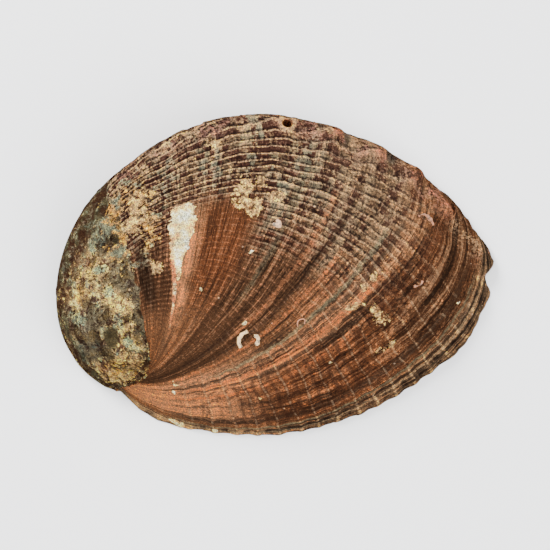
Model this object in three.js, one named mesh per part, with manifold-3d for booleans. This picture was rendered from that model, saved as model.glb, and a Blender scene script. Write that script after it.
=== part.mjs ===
// A dry abalone shell, the ear-shaped shell of a sea snail, lying mouth down as it rests on a table.
// One closed solid: a ribbed dome with a low worn spire at the back left, a row of raised breathing
// pores along the steep far side, and a hollow underside with a flat ledge inside the pore side.
// Millimetres. +X runs from the spire to the front lip, +Y to the pore side, +Z up from the table.
// The origin is on the table, under the middle of the shell.
import * as THREE from "three";
import Module from "manifold-3d";
import { mergeVertices } from "three/addons/utils/BufferGeometryUtils.js";

// Driving dimensions
const LENGTH = 100; // back of the spire to the front lip
const WIDTH = 73.5; // outer lip to the pore side
const HEIGHT = 26; // table to the top of the dome
const CROWN_WALL = 2.2; // wall at the top of the dome
const LEDGE_HEIGHT = 5; // the ledge runs out into the wall this far above the table
const LEDGE_SLOPE = 0.12; // rise of its inner edge for each millimetre of its width
const PORE_RADIUS = 1.15; // the open breathing pores
const COLLAR_RADIUS = 1.9; // top of the raised collar round a pore
const COLLAR_FOOT_RADIUS = 3.3;
const COLLAR_HEIGHT = 1.7; // collar above the dome
const FILLED_FOOT_RADIUS = 2.6;
const FILLED_HEIGHT = 1.1;
const PORE_LIFT = 0.9; // how far a pore's axis is turned up from the dome's own outward direction

// Mesh fineness
const SECTORS = 108;
const OUTER_RINGS = 28;
const INNER_RINGS = 9;
const ROUND_SIDES = 10; // of the pores and collars
const PROFILE_STEPS = 240; // samples used to space the rings evenly along a profile

// The places below are for a shell 100 long, so they scale with LENGTH.
const UNIT = LENGTH / 100;
const at = (x, y) => new THREE.Vector2(x * UNIT, y * UNIT);

// The dome's crown, from which every profile falls away, and the point the spire coils round
const CROWN = at(-5.6, 6.7);
const APEX = at(-37, -13.8);

// Edge of the shell seen from above, anticlockwise from the front lip
const OUTLINE = [
  at(49.9, 3.5), // lip at the end of the pore row
  at(49.1, 6.6),
  at(45.6, 9.6),
  at(42.7, 15.8),
  at(36.6, 21.3),
  at(24.5, 29.5),
  at(12.2, 34.2),
  at(-3.8, 36.8), // widest point of the pore side
  at(-19.4, 33.5),
  at(-31.8, 26.6),
  at(-43.2, 15.8),
  at(-49.5, 0.1), // back of the spire
  at(-48.9, -12.2),
  at(-44.3, -20.8),
  at(-38.6, -25.4),
  at(-36.6, -26.1), // nick where the outer lip leaves the spire
  at(-34.9, -27.4),
  at(-27.5, -32.5),
  at(-13.3, -35.9),
  at(-0.1, -36.4), // outer lip
  at(12.3, -34.1),
  at(24.6, -29.4),
  at(37.2, -21.5),
  at(43.9, -15.8),
  at(47.9, -8.3),
  at(49.7, -4.2), // front lip
  at(48.5, -0.1), // dent beside the newest pore
];

// How the dome falls away: height = top * (1 - share^fullness)^steepness, by azimuth in degrees
const FLANKS = [
  { azimuth: 0, fullness: 2.3, steepness: 0.75 },
  { azimuth: 25, fullness: 2.5, steepness: 0.5 },
  { azimuth: 50, fullness: 2.8, steepness: 0.34 },
  { azimuth: 85, fullness: 3.0, steepness: 0.29 },
  { azimuth: 125, fullness: 3.0, steepness: 0.31 },
  { azimuth: 165, fullness: 2.6, steepness: 0.38 },
  { azimuth: 200, fullness: 2.4, steepness: 0.44 },
  { azimuth: 220, fullness: 2.3, steepness: 0.52 },
  { azimuth: 240, fullness: 2.0, steepness: 0.8 },
  { azimuth: 275, fullness: 2.0, steepness: 0.95 },
  { azimuth: 320, fullness: 2.0, steepness: 0.9 },
];

// Wall at the table, and the width of the flat ledge with it, by azimuth in degrees
const EDGES = [
  { azimuth: 0, wall: 1.5, ledge: 1.9 },
  { azimuth: 25, wall: 1.8, ledge: 3.6 },
  { azimuth: 55, wall: 2.2, ledge: 5.6 },
  { azimuth: 95, wall: 2.3, ledge: 6.6 },
  { azimuth: 140, wall: 2.3, ledge: 7.2 },
  { azimuth: 185, wall: 2.3, ledge: 7.2 },
  { azimuth: 212, wall: 2.2, ledge: 5.4 },
  { azimuth: 230, wall: 1.8, ledge: 2.8 },
  { azimuth: 255, wall: 1.4, ledge: 1.5 },
  { azimuth: 330, wall: 1.4, ledge: 1.5 },
];

// The coil that the pore row follows, one place per growth stage, from the lip back into the spire.
// The shell's edge at stage n ran from the coil at n + TURN to the coil at n.
const COIL = [
  at(48.9, 5.6),
  at(43.6, 12.9),
  at(32.5, 23.1),
  at(13.8, 32.7),
  at(-5.6, 35.4),
  at(-21.5, 31.1),
  at(-37.5, 20.6),
  at(-46.1, 7.9),
  at(-49.5, -5.8),
  at(-45.0, -19.5),
  at(-36.6, -26.1),
  at(-35.0, -25.9),
  at(-33.1, -25.4),
  at(-30.6, -24.3),
  at(-29.0, -22.9),
  at(-28.4, -21.5),
  at(-27.9, -19.5),
];
const TURN = 10;
const OLDEST_STAGE = 24;
const STAGE_STEP = 0.25;
const INNER_COIL_TURN = THREE.MathUtils.degToRad(34); // per stage, past the listed coil
const INNER_COIL_SHRINK = 0.23;

// How far each stage's edge bows out from its chord, as a share of the chord
const BOWS = [0.275, 0.285, 0.19, 0.16, 0.12, 0.088, 0.03, 0];

// Places of the open pores and of the older ones that the animal has filled
const OPEN_PORES = [at(3.2, 34.4), at(14, 31.6), at(23.8, 27.2), at(32, 22.3), at(39.8, 14.8)];
const FILLED_PORES = [at(-6.7, 35), at(-15.1, 33.2), at(-22.4, 30.2), at(-28.4, 26.8), at(-33.4, 23.4)];

// Stages at which growth paused and left a ledge, with the ledge's height
const PAUSES = [
  { stage: 1.0, step: 0.55 },
  { stage: 2.35, step: 0.35 },
  { stage: 3.1, step: 0.45 },
  { stage: 4.95, step: 0.5 },
];

// Crusts of lime and worm tube grown on the dome: place, radius, height
const CRUSTS = [
  { place: at(-5, 18.6), radius: 3.2, height: 0.7 },
  { place: at(-2.6, 15.2), radius: 2.4, height: 0.6 },
  { place: at(-11.5, 29.4), radius: 2.2, height: 0.6 },
  { place: at(0.5, 11.1), radius: 1.2, height: 0.7 },
  { place: at(-26.2, 3.2), radius: 2.6, height: 0.6 },
  { place: at(-29.5, 14.4), radius: 3.6, height: 0.7 },
  { place: at(-4.6, -13.2), radius: 2.2, height: 0.7 },
  { place: at(24.2, -7.4), radius: 2.6, height: 0.6 },
  { place: at(-43.4, 2.2), radius: 3.4, height: 0.6 },
];

const RIB_COUNT = 12; // broad spiral ribs between the spire and the pore row
const RIB_HEIGHT = 0.32;
const KEEL_HEIGHT = 0.9; // the raised line that carries the pores
const KEEL_WIDTH = 2.2;
const SPIRE_HEIGHT = 1.7;
const SPIRE_RADIUS = 10;
const SEAM_DEPTH = 0.9; // groove where the last whorl meets the spire
const SEAM_SHARE = 0.05;

const TAU = 2 * Math.PI;
const wrap = (angle) => ((angle % TAU) + TAU) % TAU;
const mix = THREE.MathUtils.lerp;
const smooth = (share) => THREE.MathUtils.smoothstep(share, 0, 1);

// A smooth closed curve through (angle, value) knots: a function of the angle
function roundCurve(knots) {
  const sorted = [...knots].sort((a, b) => a.angle - b.angle);
  const count = sorted.length;
  const knot = (n) => {
    const lap = Math.floor(n / count);
    const k = sorted[n - lap * count];
    return { angle: k.angle + lap * TAU, value: k.value };
  };
  const slope = (n) =>
    (knot(n + 1).value - knot(n - 1).value) / (knot(n + 1).angle - knot(n - 1).angle);
  return (angle) => {
    let a = wrap(angle);
    if (a < sorted[0].angle) a += TAU;
    let n = sorted.findLastIndex((k) => k.angle <= a);
    const span = knot(n + 1).angle - knot(n).angle;
    const t = (a - knot(n).angle) / span;
    const rise = (3 - 2 * t) * t * t;
    return (
      mix(knot(n).value, knot(n + 1).value, rise) +
      span * t * (1 - t) * ((1 - t) * slope(n) - t * slope(n + 1))
    );
  };
}

const byAzimuth = (rows, key) =>
  roundCurve(
    rows.map((row) => ({ angle: THREE.MathUtils.degToRad(row.azimuth), value: row[key] })),
  );

const edgeRadius = roundCurve(
  OUTLINE.map((p) => {
    const arm = p.clone().sub(CROWN);
    return { angle: wrap(arm.angle()), value: arm.length() };
  }),
);
const fullness = byAzimuth(FLANKS, "fullness");
const steepness = byAzimuth(FLANKS, "steepness");
const edgeWall = byAzimuth(EDGES, "wall");
const ledgeWidth = byAzimuth(EDGES, "ledge");

// The low mound of the spire, added to the dome inside and out
function spireMound(x, y) {
  const away = Math.hypot(x - APEX.x, y - APEX.y) / (SPIRE_RADIUS * UNIT);
  return SPIRE_HEIGHT * Math.exp(-away * away);
}

// Share 0 is the crown and share 1 the edge at the table
function outerPoint(azimuth, share) {
  const reach = share * edgeRadius(azimuth);
  const x = CROWN.x + reach * Math.cos(azimuth);
  const y = CROWN.y + reach * Math.sin(azimuth);
  const fall = (1 - share ** fullness(azimuth)) ** steepness(azimuth);
  return new THREE.Vector3(x, y, HEIGHT * fall + spireMound(x, y) * Math.min(1, 3 * fall));
}

// The hollow is a smaller dome, whose foot is drawn in to the ledge
function innerPoint(azimuth, share) {
  const wall = edgeWall(azimuth);
  const fall = (1 - share ** fullness(azimuth)) ** steepness(azimuth);
  const base = ledgeRise(azimuth);
  const height = base + (HEIGHT - CROWN_WALL - base) * fall;
  const drawnIn = (ledgeWidth(azimuth) - wall) * smooth(1 - (height - base) / LEDGE_HEIGHT);
  const reach = share * (edgeRadius(azimuth) - wall) - drawnIn * share;
  const x = CROWN.x + reach * Math.cos(azimuth);
  const y = CROWN.y + reach * Math.sin(azimuth);
  return new THREE.Vector3(x, y, height + spireMound(x, y) * Math.min(1, 3 * fall));
}

// The ledge's inner edge stands a little off the table where the ledge is wide
function ledgeRise(azimuth) {
  return Math.max(0, LEDGE_SLOPE * (ledgeWidth(azimuth) - edgeWall(azimuth)));
}

// A place on the coil. Past the listed places it shrinks into the apex.
function coilPoint(stage) {
  const last = COIL.length - 1;
  if (stage >= last) {
    const arm = COIL[last].clone().sub(APEX);
    const turned = arm.angle() + INNER_COIL_TURN * (stage - last);
    const reach = arm.length() * Math.exp(-INNER_COIL_SHRINK * (stage - last));
    return new THREE.Vector2(Math.cos(turned), Math.sin(turned))
      .multiplyScalar(reach)
      .add(APEX);
  }
  const n = Math.max(0, Math.floor(stage));
  const near = (k) => COIL[THREE.MathUtils.clamp(k, 0, last)];
  const t = stage - n;
  const ease = (a, b, c, d) =>
    0.5 * (2 * b + (c - a) * t + (2 * a - 5 * b + 4 * c - d) * t ** 2 + (3 * b - a - 3 * c + d) * t ** 3);
  const [a, b, c, d] = [near(n - 1), near(n), near(n + 1), near(n + 2)];
  return new THREE.Vector2(ease(a.x, b.x, c.x, d.x), ease(a.y, b.y, c.y, d.y));
}

function bowAt(stage) {
  const n = Math.min(Math.floor(stage), BOWS.length - 2);
  return mix(BOWS[n], BOWS[n + 1], Math.min(stage - n, 1));
}

// Bow along a chord: blunt at the pore row, finer at the spire
function bowShape(across) {
  if (across <= 0 || across >= 1) return 0;
  return (4 * across * (1 - across)) ** (across < 0.5 ? 0.77 : 0.45);
}

// Where a place lies against the edge of one stage: how far along its chord, and how far past it
function againstEdge(x, y, stage) {
  const start = coilPoint(stage + TURN);
  const chord = coilPoint(stage).sub(start);
  const length = chord.length();
  const dx = x - start.x;
  const dy = y - start.y;
  const across = (dx * chord.x + dy * chord.y) / length ** 2;
  const past = (dx * chord.y - dy * chord.x) / length ** 2 - bowAt(stage) * bowShape(across);
  return { across, past, length };
}

// Growth stage of a place on the dome, its share of the way from the spire to the pore row, and
// the length of the edge that made it. The newest edge that reaches the place counts.
function growthAt(x, y) {
  let before = againstEdge(x, y, 0);
  for (let stage = STAGE_STEP; stage <= OLDEST_STAGE; stage += STAGE_STEP) {
    const here = againstEdge(x, y, stage);
    if (before.past < 0 && here.past >= 0 && here.across > -0.05 && here.across < 2) {
      const t = before.past / (before.past - here.past);
      return {
        stage: stage - STAGE_STEP * (1 - t),
        across: mix(before.across, here.across, t),
        length: mix(before.length, here.length, t),
      };
    }
    before = here;
  }
  return { stage: before.past >= 0 ? 0 : OLDEST_STAGE, across: before.across, length: before.length };
}

// Height of the sculpture above the smooth dome
function relief(x, y) {
  const { stage, across, length } = growthAt(x, y);
  const worn = 1 - smooth((stage - 5.5) / 2); // the oldest part is worn smooth
  const band = smooth(across / 0.25) * (1 - smooth((stage - 6) / 3));
  const ribs = RIB_HEIGHT * band * Math.cos(TAU * RIB_COUNT * across);
  const fromKeel = ((across - 1) * length) / (KEEL_WIDTH * UNIT);
  const keel = KEEL_HEIGHT * worn * Math.exp(-fromKeel * fromKeel);
  const seam = stage < TURN ? -SEAM_DEPTH * Math.exp(-Math.max(across, 0) / SEAM_SHARE) : 0;
  let height = ribs + keel + seam;
  for (const pause of PAUSES) {
    if (stage > pause.stage) height += pause.step * Math.exp(-(stage - pause.stage) / 0.35) * band;
  }
  for (const crust of CRUSTS) {
    const away = Math.hypot(x - crust.place.x, y - crust.place.y) / (crust.radius * UNIT);
    height += crust.height * Math.exp(-(away ** 4));
  }
  return height;
}

// Shares that space the rings evenly along a profile, from the crown to the edge
function evenShares(profile, azimuth, rings) {
  const lengths = [0];
  let before = profile(azimuth, 0);
  for (let k = 1; k <= PROFILE_STEPS; k++) {
    const here = profile(azimuth, warpShare(k / PROFILE_STEPS));
    lengths.push(lengths[k - 1] + here.distanceTo(before));
    before = here;
  }
  const total = lengths[PROFILE_STEPS];
  return Array.from({ length: rings }, (_, ring) => {
    const wanted = (total * (ring + 1)) / rings;
    const k = Math.max(1, lengths.findIndex((l) => l >= wanted - 1e-9));
    const t = (wanted - lengths[k - 1]) / (lengths[k] - lengths[k - 1]);
    return warpShare((k - 1 + t) / PROFILE_STEPS);
  });
}

// Samples crowd towards the edge, where the sides are steep
function warpShare(share) {
  return 1 - Math.max(1 - share, 0) ** 2.5;
}

// Outward direction of the smooth dome
function outward(azimuth, share) {
  const d = 1e-3;
  const inShare = Math.max(share - d, d);
  const down = outerPoint(azimuth, Math.min(share + d, 1)).sub(outerPoint(azimuth, inShare));
  const round = outerPoint(azimuth + d, share).sub(outerPoint(azimuth - d, share));
  return down.cross(round).normalize();
}

// Outer surface, table edge and hollow as rings of points, from the crown over the edge to the
// top of the hollow
function shellRings() {
  const rings = Array.from({ length: OUTER_RINGS + 2 + INNER_RINGS }, () => []);
  for (let sector = 0; sector < SECTORS; sector++) {
    const azimuth = (TAU * sector) / SECTORS;
    evenShares(outerPoint, azimuth, OUTER_RINGS).forEach((share, ring) => {
      const point = outerPoint(azimuth, share);
      const height = relief(point.x, point.y);
      const edge = ring === OUTER_RINGS - 1;
      const calm = ledgeWidth(azimuth) > 3 ? smooth(point.z / 4) : 1;
      point.addScaledVector(outward(azimuth, Math.min(share, 0.995)), height * calm);
      point.z = edge ? 0 : Math.max(point.z, 0.3);
      rings[ring].push(point);
    });
    const width = ledgeWidth(azimuth);
    const spread = (inset, z) => {
      const reach = edgeRadius(azimuth) - inset;
      return new THREE.Vector3(
        CROWN.x + reach * Math.cos(azimuth),
        CROWN.y + reach * Math.sin(azimuth),
        z,
      );
    };
    rings[OUTER_RINGS].push(spread(0.62 * width, 0));
    rings[OUTER_RINGS + 1].push(spread(width, ledgeRise(azimuth)));
    evenShares(innerPoint, azimuth, INNER_RINGS + 1)
      .slice(0, INNER_RINGS)
      .reverse()
      .forEach((share, n) => rings[OUTER_RINGS + 2 + n].push(innerPoint(azimuth, share)));
  }
  return rings;
}

// One closed skin over the rings, with a point at each end
function closedSkin(rings, firstPole, lastPole) {
  const points = [firstPole, ...rings.flat(), lastPole];
  const index = (ring, sector) => 1 + ring * SECTORS + (sector % SECTORS);
  const faces = [];
  for (let sector = 0; sector < SECTORS; sector++) {
    faces.push(0, index(0, sector), index(0, sector + 1));
    for (let ring = 0; ring < rings.length - 1; ring++) {
      const [a, b] = [index(ring, sector), index(ring, sector + 1)];
      const [c, d] = [index(ring + 1, sector), index(ring + 1, sector + 1)];
      faces.push(a, c, d, a, d, b);
    }
    const last = rings.length - 1;
    faces.push(index(last, sector), points.length - 1, index(last, sector + 1));
  }
  const geometry = new THREE.BufferGeometry().setFromPoints(points);
  geometry.setIndex(faces);
  return geometry;
}

const wasm = await Module();
wasm.setup();

function toSolid(geometry) {
  const bare = geometry.clone();
  bare.deleteAttribute("normal");
  bare.deleteAttribute("uv");
  const merged = mergeVertices(bare, 1e-4);
  return new wasm.Manifold(
    new wasm.Mesh({
      numProp: 3,
      vertProperties: new Float32Array(merged.attributes.position.array),
      triVerts: new Uint32Array(merged.index.array),
    }),
  );
}

function toGeometry(solid) {
  const mesh = solid.getMesh();
  const geometry = new THREE.BufferGeometry();
  geometry.setAttribute("position", new THREE.BufferAttribute(mesh.vertProperties, 3));
  geometry.setIndex(new THREE.BufferAttribute(mesh.triVerts, 1));
  return geometry;
}

// A place on the dome at the pore row, and the way a pore there opens: outwards and up
function poreSeat(place) {
  const arm = place.clone().sub(CROWN);
  const azimuth = arm.angle();
  const share = Math.min(arm.length() / edgeRadius(azimuth), 0.97);
  const axis = outward(azimuth, share).add(new THREE.Vector3(0, 0, PORE_LIFT)).normalize();
  return { seat: outerPoint(azimuth, share), axis };
}

// A round piece on a pore's axis, from below to above the seat
function poreRound({ seat, axis }, topRadius, footRadius, below, above) {
  const geometry = new THREE.CylinderGeometry(topRadius, footRadius, below + above, ROUND_SIDES);
  geometry.translate(0, (above - below) / 2, 0);
  const turn = new THREE.Quaternion().setFromUnitVectors(new THREE.Vector3(0, 1, 0), axis);
  geometry.applyQuaternion(turn);
  geometry.translate(seat.x, seat.y, seat.z);
  return toSolid(geometry);
}

// Arch under the newest pore, still open to the front lip
function lipArch() {
  const geometry = new THREE.SphereGeometry(1.7, 12, 8);
  geometry.scale(2.2, 1, 1);
  geometry.rotateZ(THREE.MathUtils.degToRad(-8));
  geometry.translate(49 * UNIT, 1.4 * UNIT, 0);
  return toSolid(geometry);
}

// Moves and trims the scale of a geometry by a hair, so that it has the stated overall size
function fitToSize(geometry) {
  geometry.computeBoundingBox();
  const size = geometry.boundingBox.getSize(new THREE.Vector3());
  const middle = geometry.boundingBox.getCenter(new THREE.Vector3());
  geometry.translate(-middle.x, -middle.y, -geometry.boundingBox.min.z);
  geometry.scale(LENGTH / size.x, WIDTH / size.y, HEIGHT / size.z);
  return geometry;
}

function abaloneShell() {
  const crown = outerPoint(0, 0);
  const hollowTop = innerPoint(0, 0);
  crown.z += relief(crown.x, crown.y);
  let solid = toSolid(closedSkin(shellRings(), crown, hollowTop));
  for (const place of FILLED_PORES) {
    solid = solid.add(poreRound(poreSeat(place), 0.9, FILLED_FOOT_RADIUS, 1.2, FILLED_HEIGHT));
  }
  for (const place of OPEN_PORES) {
    const collar = poreRound(poreSeat(place), COLLAR_RADIUS, COLLAR_FOOT_RADIUS, 1, COLLAR_HEIGHT);
    solid = solid.add(collar);
  }
  for (const place of OPEN_PORES) {
    solid = solid.subtract(poreRound(poreSeat(place), PORE_RADIUS, PORE_RADIUS, 9, 5));
  }
  solid = solid.subtract(lipArch());
  return fitToSize(toGeometry(solid));
}

const shell = new THREE.Mesh(
  abaloneShell(),
  new THREE.MeshStandardMaterial({ color: 0x7a4a33, roughness: 0.7, metalness: 0 }),
);
shell.name = "shell";

const part = new THREE.Group();
part.name = "abalone_shell";
part.add(shell);

export default part;
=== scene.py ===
"""A dry abalone shell, lying mouth down on a pale floor and seen from straight above.

The shell is one grown piece, and its skin is modelled from the way it grew. Each former edge of
the shell is a curve from the seam beside the spire to the row of pores, and the ribs cross those
edges. So every point of the skin has a growth stage, counted back from the present edge, and a
share of the way across from the seam to the pores. The relief and the colours both read them.

Shapes are worked out in millimetres and turned into metres when a mesh is written.
"""

import logging
import math
from collections.abc import Callable, Sequence
from dataclasses import dataclass, field
from enum import Enum

import bpy
import numpy as np
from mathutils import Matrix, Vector, kdtree

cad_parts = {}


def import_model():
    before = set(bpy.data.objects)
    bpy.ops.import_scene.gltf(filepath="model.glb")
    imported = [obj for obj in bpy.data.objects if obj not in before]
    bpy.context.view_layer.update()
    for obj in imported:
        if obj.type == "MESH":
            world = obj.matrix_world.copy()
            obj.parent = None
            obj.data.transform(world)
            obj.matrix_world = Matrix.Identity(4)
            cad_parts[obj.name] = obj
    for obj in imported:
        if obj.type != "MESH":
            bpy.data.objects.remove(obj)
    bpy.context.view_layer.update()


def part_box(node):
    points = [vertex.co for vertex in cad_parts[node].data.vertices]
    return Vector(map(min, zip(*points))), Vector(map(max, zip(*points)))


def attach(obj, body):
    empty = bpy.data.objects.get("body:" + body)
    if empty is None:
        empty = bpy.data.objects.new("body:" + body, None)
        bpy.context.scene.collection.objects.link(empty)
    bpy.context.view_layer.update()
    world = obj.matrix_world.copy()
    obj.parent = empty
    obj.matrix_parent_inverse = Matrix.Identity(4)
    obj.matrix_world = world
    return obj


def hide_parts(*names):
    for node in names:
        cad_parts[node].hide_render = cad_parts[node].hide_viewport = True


log = logging.getLogger("abalone")

MM = 0.001
TURN = 2 * math.pi

Array = np.ndarray
Colour = tuple[float, float, float]
Spot = tuple[float, float]
Ramp = tuple[tuple[float, Colour], ...]
Socket = bpy.types.NodeSocket
Value = Socket | float | Colour


def ease(share: Array | float) -> Array:
    """A smooth step from 0 to 1 as share goes from 0 to 1."""
    held = np.clip(share, 0.0, 1.0)
    return held * held * (3 - 2 * held)


def hill(distance: Array | float, width: float) -> Array:
    """A smooth hill of height 1, which falls to a third at one width from its middle."""
    return np.exp(-((distance / width) ** 2))


def window(value: Array, low: Array | float, high: Array | float, soft: float) -> Array:
    """1 between low and high and 0 outside, with edges that are soft wide."""
    return ease((value - low) / soft + 0.5) * ease((high - value) / soft + 0.5)


def select_none() -> None:
    """Leaves no object selected."""
    bpy.ops.object.select_all(action="DESELECT")


@dataclass(frozen=True)
class Grain:
    """Smooth random numbers over space, the same on each run."""

    seed: int

    def at(self, points: Array, size: float) -> Array:
        """Random values from -1 to 1 that vary over a distance.

        Args:
            points: Places, one per row.
            size: The distance over which the values vary.

        Returns:
            One value per place.
        """
        place = points / size
        cell = np.floor(place).astype(np.int64)
        part = ease(place - cell)
        total = np.zeros(len(points))
        for corner in np.ndindex(2, 2, 2):
            step = np.array(corner)
            share = np.prod(np.where(step == 1, part, 1 - part), axis=1)
            total += share * self._scatter(cell + step)
        return total

    def layers(self, points: Array, size: float, count: int = 3) -> Array:
        """Several layers of grain, each half the size and weight of the last."""
        total = np.zeros(len(points))
        for layer in range(count):
            scale = 0.5**layer
            total += scale * Grain(self.seed + layer).at(points, size * scale)
        return total

    def _scatter(self, cell: Array) -> Array:
        """A random value from -1 to 1 for each whole-number cell."""
        mixed = cell[:, 0] * 73856093 ^ cell[:, 1] * 19349663 ^ cell[:, 2] * 83492791
        mixed = (mixed + self.seed * 2654435761) & 0xFFFFFFFF
        mixed = ((mixed >> 15) ^ mixed) * 2246822519 & 0xFFFFFFFF
        mixed = ((mixed >> 13) ^ mixed) * 3266489917 & 0xFFFFFFFF
        return ((mixed >> 16) ^ mixed) / 0x7FFFFFFF - 1.0


@dataclass(frozen=True)
class RoundCurve:
    """A smooth closed curve of a value over the angle, through knots.

    Attributes:
        angles: The knots' angles, from 0 to a full turn, in order.
        values: The value at each knot.
    """

    angles: Array
    values: Array

    @classmethod
    def through(cls, knots: Sequence[tuple[float, float]]) -> "RoundCurve":
        """A curve through pairs of an angle in radians and a value, in any order."""
        ordered = sorted((angle % TURN, value) for angle, value in knots)
        angles, values = np.array(ordered).T
        return cls(angles, values)

    def __call__(self, angle: Array) -> Array:
        """The curve's values at some angles."""
        angles = np.concatenate([self.angles - TURN, self.angles, self.angles + TURN])
        values = np.tile(self.values, 3)
        slopes = (np.roll(values, -1) - np.roll(values, 1)) / (
            np.roll(angles, -1) - np.roll(angles, 1)
        )
        at = np.mod(angle, TURN)
        knot = np.clip(np.searchsorted(angles, at, side="right") - 1, 1, len(angles) - 3)
        span = angles[knot + 1] - angles[knot]
        part = (at - angles[knot]) / span
        lean = (1 - part) * slopes[knot] - part * slopes[knot + 1]
        between = values[knot] + (values[knot + 1] - values[knot]) * ease(part)
        return between + span * part * (1 - part) * lean


@dataclass(frozen=True)
class Growth:
    """The former edges of the shell, seen from above.

    The edge at stage n ran from the coil at n + turn, beside the spire, to the coil at n, at the
    row of pores.

    Attributes:
        coil: Places on the coil that the pore row follows, one per stage from the present edge.
        apex: The place that the coil shrinks into.
        bows: How far the edge of each stage bows out from its chord, as a share of the chord.
        turn: Stages in one turn of the coil.
        oldest: The last stage that is looked for.
        step: How closely the stages are tried.
        inner_turn: The angle that the coil turns in one stage beyond its last place.
        inner_shrink: How fast the coil shrinks there.
        stage_width: The width of one stage beyond the present edge.
    """

    coil: tuple[Spot, ...] = (
        (48.9, 5.6), (43.6, 12.9), (32.5, 23.1), (13.8, 32.7), (-5.6, 35.4),
        (-21.5, 31.1), (-37.5, 20.6), (-46.1, 7.9), (-49.5, -5.8), (-45.0, -19.5),
        (-36.6, -26.1), (-35.0, -25.9), (-33.1, -25.4), (-30.6, -24.3), (-29.0, -22.9),
        (-28.4, -21.5), (-27.9, -19.5),
    )
    apex: Spot = (-37.0, -13.8)
    bows: tuple[float, ...] = (0.275, 0.285, 0.19, 0.16, 0.12, 0.088, 0.03, 0.0)
    turn: int = 10
    oldest: float = 24.0
    step: float = 0.125
    inner_turn: float = math.radians(34)
    inner_shrink: float = 0.23
    stage_width: float = 9.0

    def coil_at(self, stage: float) -> Array:
        """The place on the coil at one stage.

        Args:
            stage: The stage, which may lie beyond the coil's last place.

        Returns:
            The place, on a smooth curve through the coil.
        """
        last = len(self.coil) - 1
        places = np.array(self.coil)
        if stage >= last:
            apex = np.array(self.apex)
            arm = places[last] - apex
            angle = math.atan2(arm[1], arm[0]) + self.inner_turn * (stage - last)
            reach = np.hypot(*arm) * math.exp(-self.inner_shrink * (stage - last))
            return apex + reach * np.array([math.cos(angle), math.sin(angle)])
        first = int(max(stage, 0))
        a, b, c, d = (places[min(max(first + k, 0), last)] for k in (-1, 0, 1, 2))
        t = stage - first
        linear, square, cube = c - a, 2 * a - 5 * b + 4 * c - d, 3 * b - a - 3 * c + d
        return 0.5 * (2 * b + linear * t + square * t**2 + cube * t**3)

    def bow_shape(self, across: Array) -> Array:
        """Bow along a chord, from 0 to 1: blunt at the pore row and finer at the seam."""
        held = np.clip(across, 0.0, 1.0)
        return (4 * held * (1 - held)) ** np.where(held < 0.5, 0.77, 0.45)

    def against(self, x: Array, y: Array, stage: float) -> tuple[Array, Array, float]:
        """Where places lie against the edge of one stage.

        Args:
            x: The places' first coordinate.
            y: The places' second coordinate.
            stage: The stage whose edge they are held against.

        Returns:
            The share along the chord, how far past the edge as a share of the chord, and the
            chord's length.
        """
        start = self.coil_at(stage + self.turn)
        chord = self.coil_at(stage) - start
        square = float(chord @ chord)
        across = ((x - start[0]) * chord[0] + (y - start[1]) * chord[1]) / square
        past = ((x - start[0]) * chord[1] - (y - start[1]) * chord[0]) / square
        bow = np.interp(stage, np.arange(len(self.bows)), self.bows)
        return across, past - bow * self.bow_shape(across), math.sqrt(square)

    def newest_edge(self, across: Array) -> Array:
        """Places on the present edge, one per share of the way across."""
        start = self.coil_at(self.turn)
        chord = self.coil_at(0) - start
        out = np.array([chord[1], -chord[0]])
        bow = self.bows[0] * self.bow_shape(across)
        return start + across[:, None] * chord + bow[:, None] * out

    def locate(self, x: Array, y: Array) -> tuple[Array, Array, Array]:
        """The newest edge that reaches each place.

        Args:
            x: The places' first coordinate.
            y: The places' second coordinate.

        Returns:
            The growth stage, the share of the way across and the chord's length at each place.
        """
        stage = np.full(len(x), self.oldest)
        before_across, before_past, before_length = self.against(x, y, 0.0)
        across, length = before_across.copy(), np.full(len(x), before_length)
        beyond = before_past >= 0
        unmet = ~beyond
        for number in range(1, int(self.oldest / self.step) + 1):
            here = number * self.step
            here_across, here_past, here_length = self.against(x, y, here)
            met = unmet & (before_past < 0) & (here_past >= 0)
            met &= (here_across > -0.05) & (here_across < 2)
            part = before_past[met] / (before_past[met] - here_past[met])
            stage[met] = here - self.step * (1 - part)
            across[met] = before_across[met] + part * (here_across[met] - before_across[met])
            length[met] = before_length + part * (here_length - before_length)
            unmet &= ~met
            before_across, before_past, before_length = here_across, here_past, here_length
        self._follow_out(x, y, beyond, stage, across)
        return stage, across, length

    def _follow_out(self, x: Array, y: Array, beyond: Array, stage: Array, across: Array) -> None:
        """Carries the ribs straight out past the present edge, where stages are negative.

        Args:
            x: The places' first coordinate.
            y: The places' second coordinate.
            beyond: Which of the places lie past the present edge.
            stage: Every place's stage, changed in place.
            across: Every place's share of the way across, changed in place.
        """
        shares = np.linspace(0, 1, 400)
        edge = self.newest_edge(shares)
        spots = np.stack([x[beyond], y[beyond]], axis=1)
        apart = np.linalg.norm(spots[:, None, :] - edge[None, :, :], axis=2)
        nearest = apart.argmin(axis=1)
        across[beyond] = shares[nearest]
        stage[beyond] = -apart[np.arange(len(spots)), nearest] / self.stage_width


@dataclass(frozen=True)
class Flank:
    """How the dome falls away at one azimuth in degrees."""

    azimuth: float
    fullness: float
    steepness: float


@dataclass(frozen=True)
class Rim:
    """The wall at the edge, and wall and flat ledge together, at one azimuth in degrees."""

    azimuth: float
    wall: float
    ledge: float


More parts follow.
